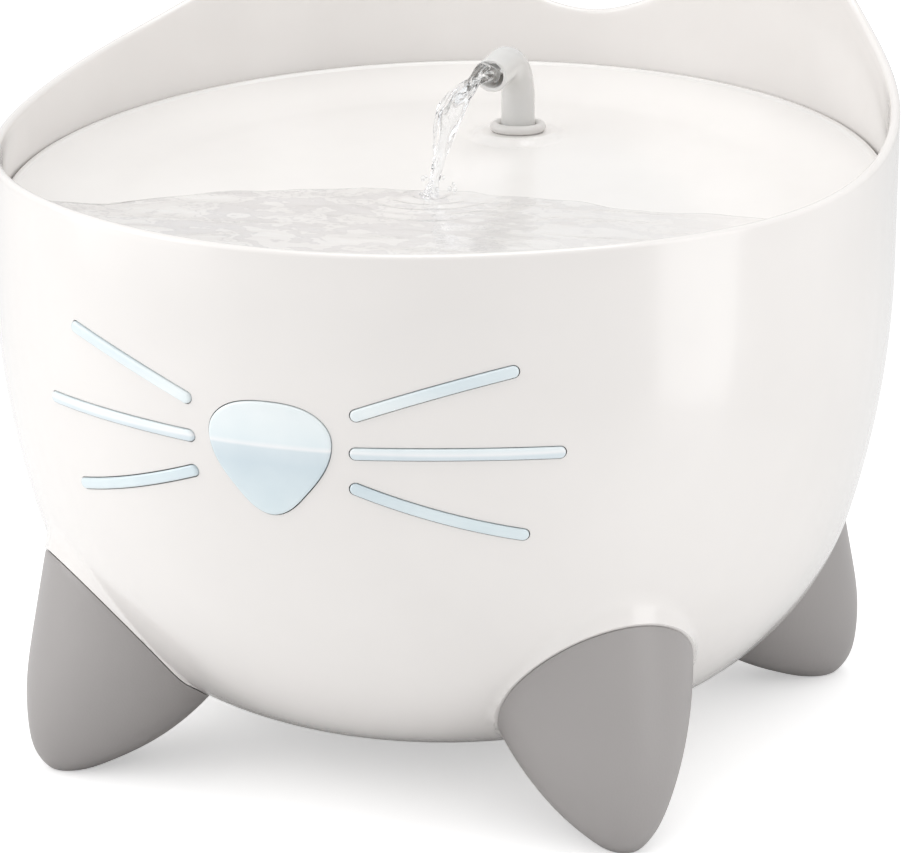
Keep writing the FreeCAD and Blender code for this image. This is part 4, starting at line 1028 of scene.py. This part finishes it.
def shore_wave(x):
    """The small bays of the pool's shores."""
    return 1.6 * np.sin(x * 0.071 + 0.6) + 1.1 * np.sin(x * 0.163 + 2.0) + 0.6 * np.sin(x * 0.37)


def from_shore(x, y):
    """How far a point lies in front of the pool's slanting rear shore."""
    return 5.0 + 0.36 * x - 0.004 * np.clip(-40.0 - x, 0, None) ** 2 - shore_wave(x) - y


def pool_reach(turns):
    """How far the pool reaches from its middle in each direction, up to its shore or the dish's wall."""
    reach = np.zeros(len(turns))
    steps = np.linspace(4, 140, 546)
    for index, turn in enumerate(turns):
        x, y = POOL_MIDDLE[0] + steps * math.sin(turn), POOL_MIDDLE[1] - steps * math.cos(turn)
        radius, angle = np.hypot(x, y), np.degrees(np.arctan2(x, -y))
        level = WATER_LEVEL + 0.08 * shore_wave(x)
        dry = (dish_top(angle, radius) > level) | (radius > DISH_RADIUS - DISH_SKIN - 0.1)
        dry = dry | (from_shore(x, y) < 0)
        reach[index] = steps[np.argmax(dry)]
    return reach


def pool_surface():
    """The pool: its rippled face out to a rounded edge, and the dish's face below it."""
    turns = np.linspace(0, 2 * math.pi, 420, endpoint=False)
    smooth = pool_reach(turns)
    for _ in range(3):
        smooth = (np.roll(smooth, 1) + 2 * smooth + np.roll(smooth, -1)) / 4
    shares = np.linspace(0.02, 1, 84) ** 0.85
    rings = []

    def place(share):
        x = POOL_MIDDLE[0] + smooth * share * np.sin(turns)
        y = POOL_MIDDLE[1] - smooth * share * np.cos(turns)
        return x, y, dish_top(np.degrees(np.arctan2(x, -y)), np.hypot(x, y))

    for share in shares:
        x, y, floor = place(share)
        surface = WATER_LEVEL + ripple(x, y) * smooth_step((1 - share) * 9)
        inside = from_shore(x, y)
        edge = np.sqrt(1 - (1 - np.clip(inside / MENISCUS_WIDTH, 0, 1)) ** 2)
        lens = MENISCUS * edge + np.clip(inside - MENISCUS_WIDTH / 2, 0, None) / 2
        rings.append(stacked(x, y, np.clip(surface, floor + POOL_EDGE_FILM, floor + 0.14 + lens)))
    for share in shares[::-6]:
        x, y, floor = place(share)
        rings.append(stacked(x, y, floor - 0.15))
    return skin(rings)


STREAM_PATH = (
    (0.0, 38.5, 172.9), (0.0, 33.0, 173.3), (-0.2, 26.0, 173.2), (-0.8, 18.0, 170.9), (-1.5, 11.0, 166.0),
    (-2.1, 5.6, 159.4), (-2.6, 1.4, 152.6), (LANDING[0], LANDING[1], 145.4),
)


def strand(path, wide_at, thick_at, twist_at, columns=48, rows=110):
    """A band of falling water along a path, with a width, a thickness and a twist that change on the way."""
    path = np.array(path)
    knots, steps = np.arange(len(path)), np.linspace(0, len(path) - 1, rows)
    line = stacked(*(curve_through(knots, path[:, axis])(steps) for axis in range(3)))
    ahead = np.gradient(line, axis=0)
    ahead /= np.linalg.norm(ahead, axis=1)[:, None]
    side = np.array((1.0, 0.0, 0.0))
    turns = np.linspace(0, 2 * math.pi, columns, endpoint=False)
    rings = []
    for share, point, way in zip(np.linspace(0, 1, rows), line, ahead):
        across = side - way * (side @ way)
        across /= np.linalg.norm(across)
        up = np.cross(way, across)
        lump = 1 + 0.12 * np.sin(3 * turns + share * 19) + 0.08 * np.sin(5 * turns - share * 27 + 1)
        lump = lump * (1 + 0.07 * math.sin(share * 33) * smooth_step(share * 4))
        a, b = wide_at(share) * lump * np.cos(turns), thick_at(share) * lump * np.sin(turns)
        twist = twist_at(share)
        x, y = a * math.cos(twist) - b * math.sin(twist), a * math.sin(twist) + b * math.cos(twist)
        rings.append(point + x[:, None] * across + y[:, None] * up)
    return rings


def main_strand():
    """The wide band from the spout's mouth, which gathers as it falls and flares where it lands."""
    def wide(share):
        spreading, gathering = smooth_step((share - 0.1) / 0.2), smooth_step((share - 0.3) / 0.5)
        return 3.0 + 1.4 * spreading - 2.7 * gathering + 1.8 * smooth_step((share - 0.9) / 0.1)

    def thick(share):
        return 2.9 - 1.7 * smooth_step((share - 0.1) / 0.35) + 0.4 * smooth_step((share - 0.9) / 0.1)

    return skin(strand(STREAM_PATH, wide, thick, lambda share: 0.9 * math.sin(share * 5) - 0.5 * share))


def side_strand():
    """A thin thread of water that leaves the band near the top and joins it again lower down."""
    shift = ((-2.2, 0, -0.4), (-3.9, -1.0, -0.6), (-3.9, -1.6, -0.4), (-2.4, -0.9, 0.0), (-0.9, 0.0, 0.0))
    path = [np.array(point) + np.array(move) for point, move in zip(STREAM_PATH[2:7], shift)]

    def wide(share):
        return 0.35 + 0.55 * math.sin(math.pi * min(1.0, share * 1.1 + 0.05)) ** 2

    return skin(strand(path, wide, lambda share: 0.8 * wide(share), lambda share: share, 20, 60))


def drop(place, size, stretch=1.3):
    """A rounded drop."""
    turns = np.linspace(-90, 90, 12)[1:-1]
    outline = [(size * math.cos(math.radians(a)), size * stretch * math.sin(math.radians(a))) for a in turns]
    return lathe(outline, place, 20)


def splash():
    """Drops thrown up round the landing place."""
    drops = []
    for _ in range(DROP_COUNT):
        turn, far = generator.uniform(0, 2 * math.pi), generator.uniform(3.5, 8.5)
        high, size = generator.uniform(0.6, 4.2), generator.uniform(0.28, 0.6)
        place = (LANDING[0] + far * math.cos(turn), LANDING[1] + far * math.sin(turn), WATER_LEVEL + high)
        drops.append(drop(place, size))
    return drops


pool = piece("pool_sheet", pool_surface(), "dish", "white_dish", crease=180.0, look="pool_water")
water = joined([main_strand(), side_strand()])
stream = piece("falling_stream", water, None, "spout_white", crease=180.0, look="stream_water")
piece("splash_drops", joined(splash()), "dish", "white_dish", crease=180.0, look="stream_water")
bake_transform(stream)

# Pieces whose solids show as they are
slots = {part["node"]: part["material_slot"] for part in frame["record"]["subparts"]}
for name, node in frame["nodes"].items():
    if not node.hide_render:
        node.data.materials.clear()
        node.data.materials.append(finish(slots[name]))
        node.data.shade_smooth()


# Floor, backdrop and light

FLOOR_HALF = 6.0
FLOOR_GLOW = 0.42


def floor_finish():
    """A white floor that keeps the object's shadow and meets the backdrop unseen."""
    material, nodes, links = nodes_of("floor_finish")
    nodes.remove(nodes["Principled BSDF"])
    diffuse = nodes.new("ShaderNodeBsdfDiffuse")
    place = object_place(nodes)
    stops = [(0.3, (0.87, 0.87, 0.87)), (0.7, (0.89, 0.89, 0.89))]
    links.new(ramp(nodes, links, noise(nodes, links, place, 3.0), stops), diffuse.inputs["Color"])
    glow = nodes.new("ShaderNodeEmission")
    seen = nodes.new("ShaderNodeLightPath").outputs["Is Camera Ray"]
    links.new(spread(nodes, links, seen, 0.0, FLOOR_GLOW), glow.inputs["Strength"])
    both = nodes.new("ShaderNodeAddShader")
    links.new(diffuse.outputs[0], both.inputs[0])
    links.new(glow.outputs[0], both.inputs[1])
    links.new(both.outputs[0], nodes["Material Output"].inputs["Surface"])
    return material


floor_mesh = bpy.data.meshes.new("floor")
corners = [(-FLOOR_HALF, -FLOOR_HALF, 0), (FLOOR_HALF, -FLOOR_HALF, 0), (FLOOR_HALF, FLOOR_HALF, 0),
           (-FLOOR_HALF, FLOOR_HALF, 0)]
floor_mesh.from_pydata(corners, [], [(0, 1, 2, 3)])
floor = bpy.data.objects.new("floor", floor_mesh)
floor_mesh.materials.append(floor_finish())
bpy.context.scene.collection.objects.link(floor)

world = bpy.data.worlds.new("studio")
bpy.context.scene.world = world
world.use_nodes = True
world_nodes, world_links = world.node_tree.nodes, world.node_tree.links
rays = world_nodes.new("ShaderNodeLightPath")
shown = world_nodes.new("ShaderNodeMath")
shown.operation = "MAXIMUM"
world_links.new(rays.outputs["Is Camera Ray"], shown.inputs[0])
world_links.new(rays.outputs["Is Transmission Ray"], shown.inputs[1])
AMBIENT = 0.75
strength = spread(world_nodes, world_links, shown.outputs[0], AMBIENT, 1.0)
world_links.new(strength, world_nodes["Background"].inputs["Strength"])
world_nodes["Background"].inputs["Color"].default_value = WHITE

# Lamps: place, aim, width, height and power.
LAMPS = {
    "key_light": ((-0.95, -0.5, 0.55), (0.0, 0.0, 0.09), 0.9, 0.9, 2.4),
    "left_panel": ((-0.36, -0.28, 0.26), (-0.08, -0.07, 0.10), 0.42, 0.5, 0.42),
    "right_panel": ((0.31, -0.09, 0.17), (0.097, -0.073, 0.10), 0.12, 0.34, 0.135),
    "top_light": ((0.1, -0.1, 1.1), (0.0, 0.0, 0.09), 0.8, 0.8, 3.5),
}
for name, (place, aim, width, height, power) in LAMPS.items():
    lamp = bpy.data.lights.new(name, "AREA")
    lamp.shape = "RECTANGLE"
    lamp.size = width
    lamp.size_y = height
    lamp.energy = power
    obj = bpy.data.objects.new(name, lamp)
    obj.location = place
    obj.rotation_mode = "QUATERNION"
    obj.rotation_quaternion = (Vector(place) - Vector(aim)).to_track_quat("Z", "Y")
    obj.visible_camera = False
    bpy.context.scene.collection.objects.link(obj)

# Camera: its turn and height, how far it stands off, and where it aims
AZIMUTH = math.radians(20.734)
ELEVATION = math.radians(16.736)
CAMERA_REACH = 1.0275
AIM_RIGHT = 0.00185
AIM_HEIGHT = 0.08124
LENS = 149.8
SENSOR = 36.0
level_share = math.cos(ELEVATION)
back = Vector((math.sin(AZIMUTH) * level_share, -math.cos(AZIMUTH) * level_share, math.sin(ELEVATION)))
right = Vector((math.cos(AZIMUTH), math.sin(AZIMUTH), 0.0))
target = right * AIM_RIGHT + Vector((0.0, 0.0, AIM_HEIGHT))
camera = bpy.data.objects.new("camera", bpy.data.cameras.new("camera"))
bpy.context.scene.collection.objects.link(camera)
camera.location = target + back * CAMERA_REACH
camera.rotation_mode = "QUATERNION"
camera.rotation_quaternion = back.to_track_quat("Z", "Y")
camera.data.sensor_width = SENSOR
camera.data.lens = LENS
bpy.context.scene.camera = camera

bpy.context.scene.view_settings.view_transform = "Standard"
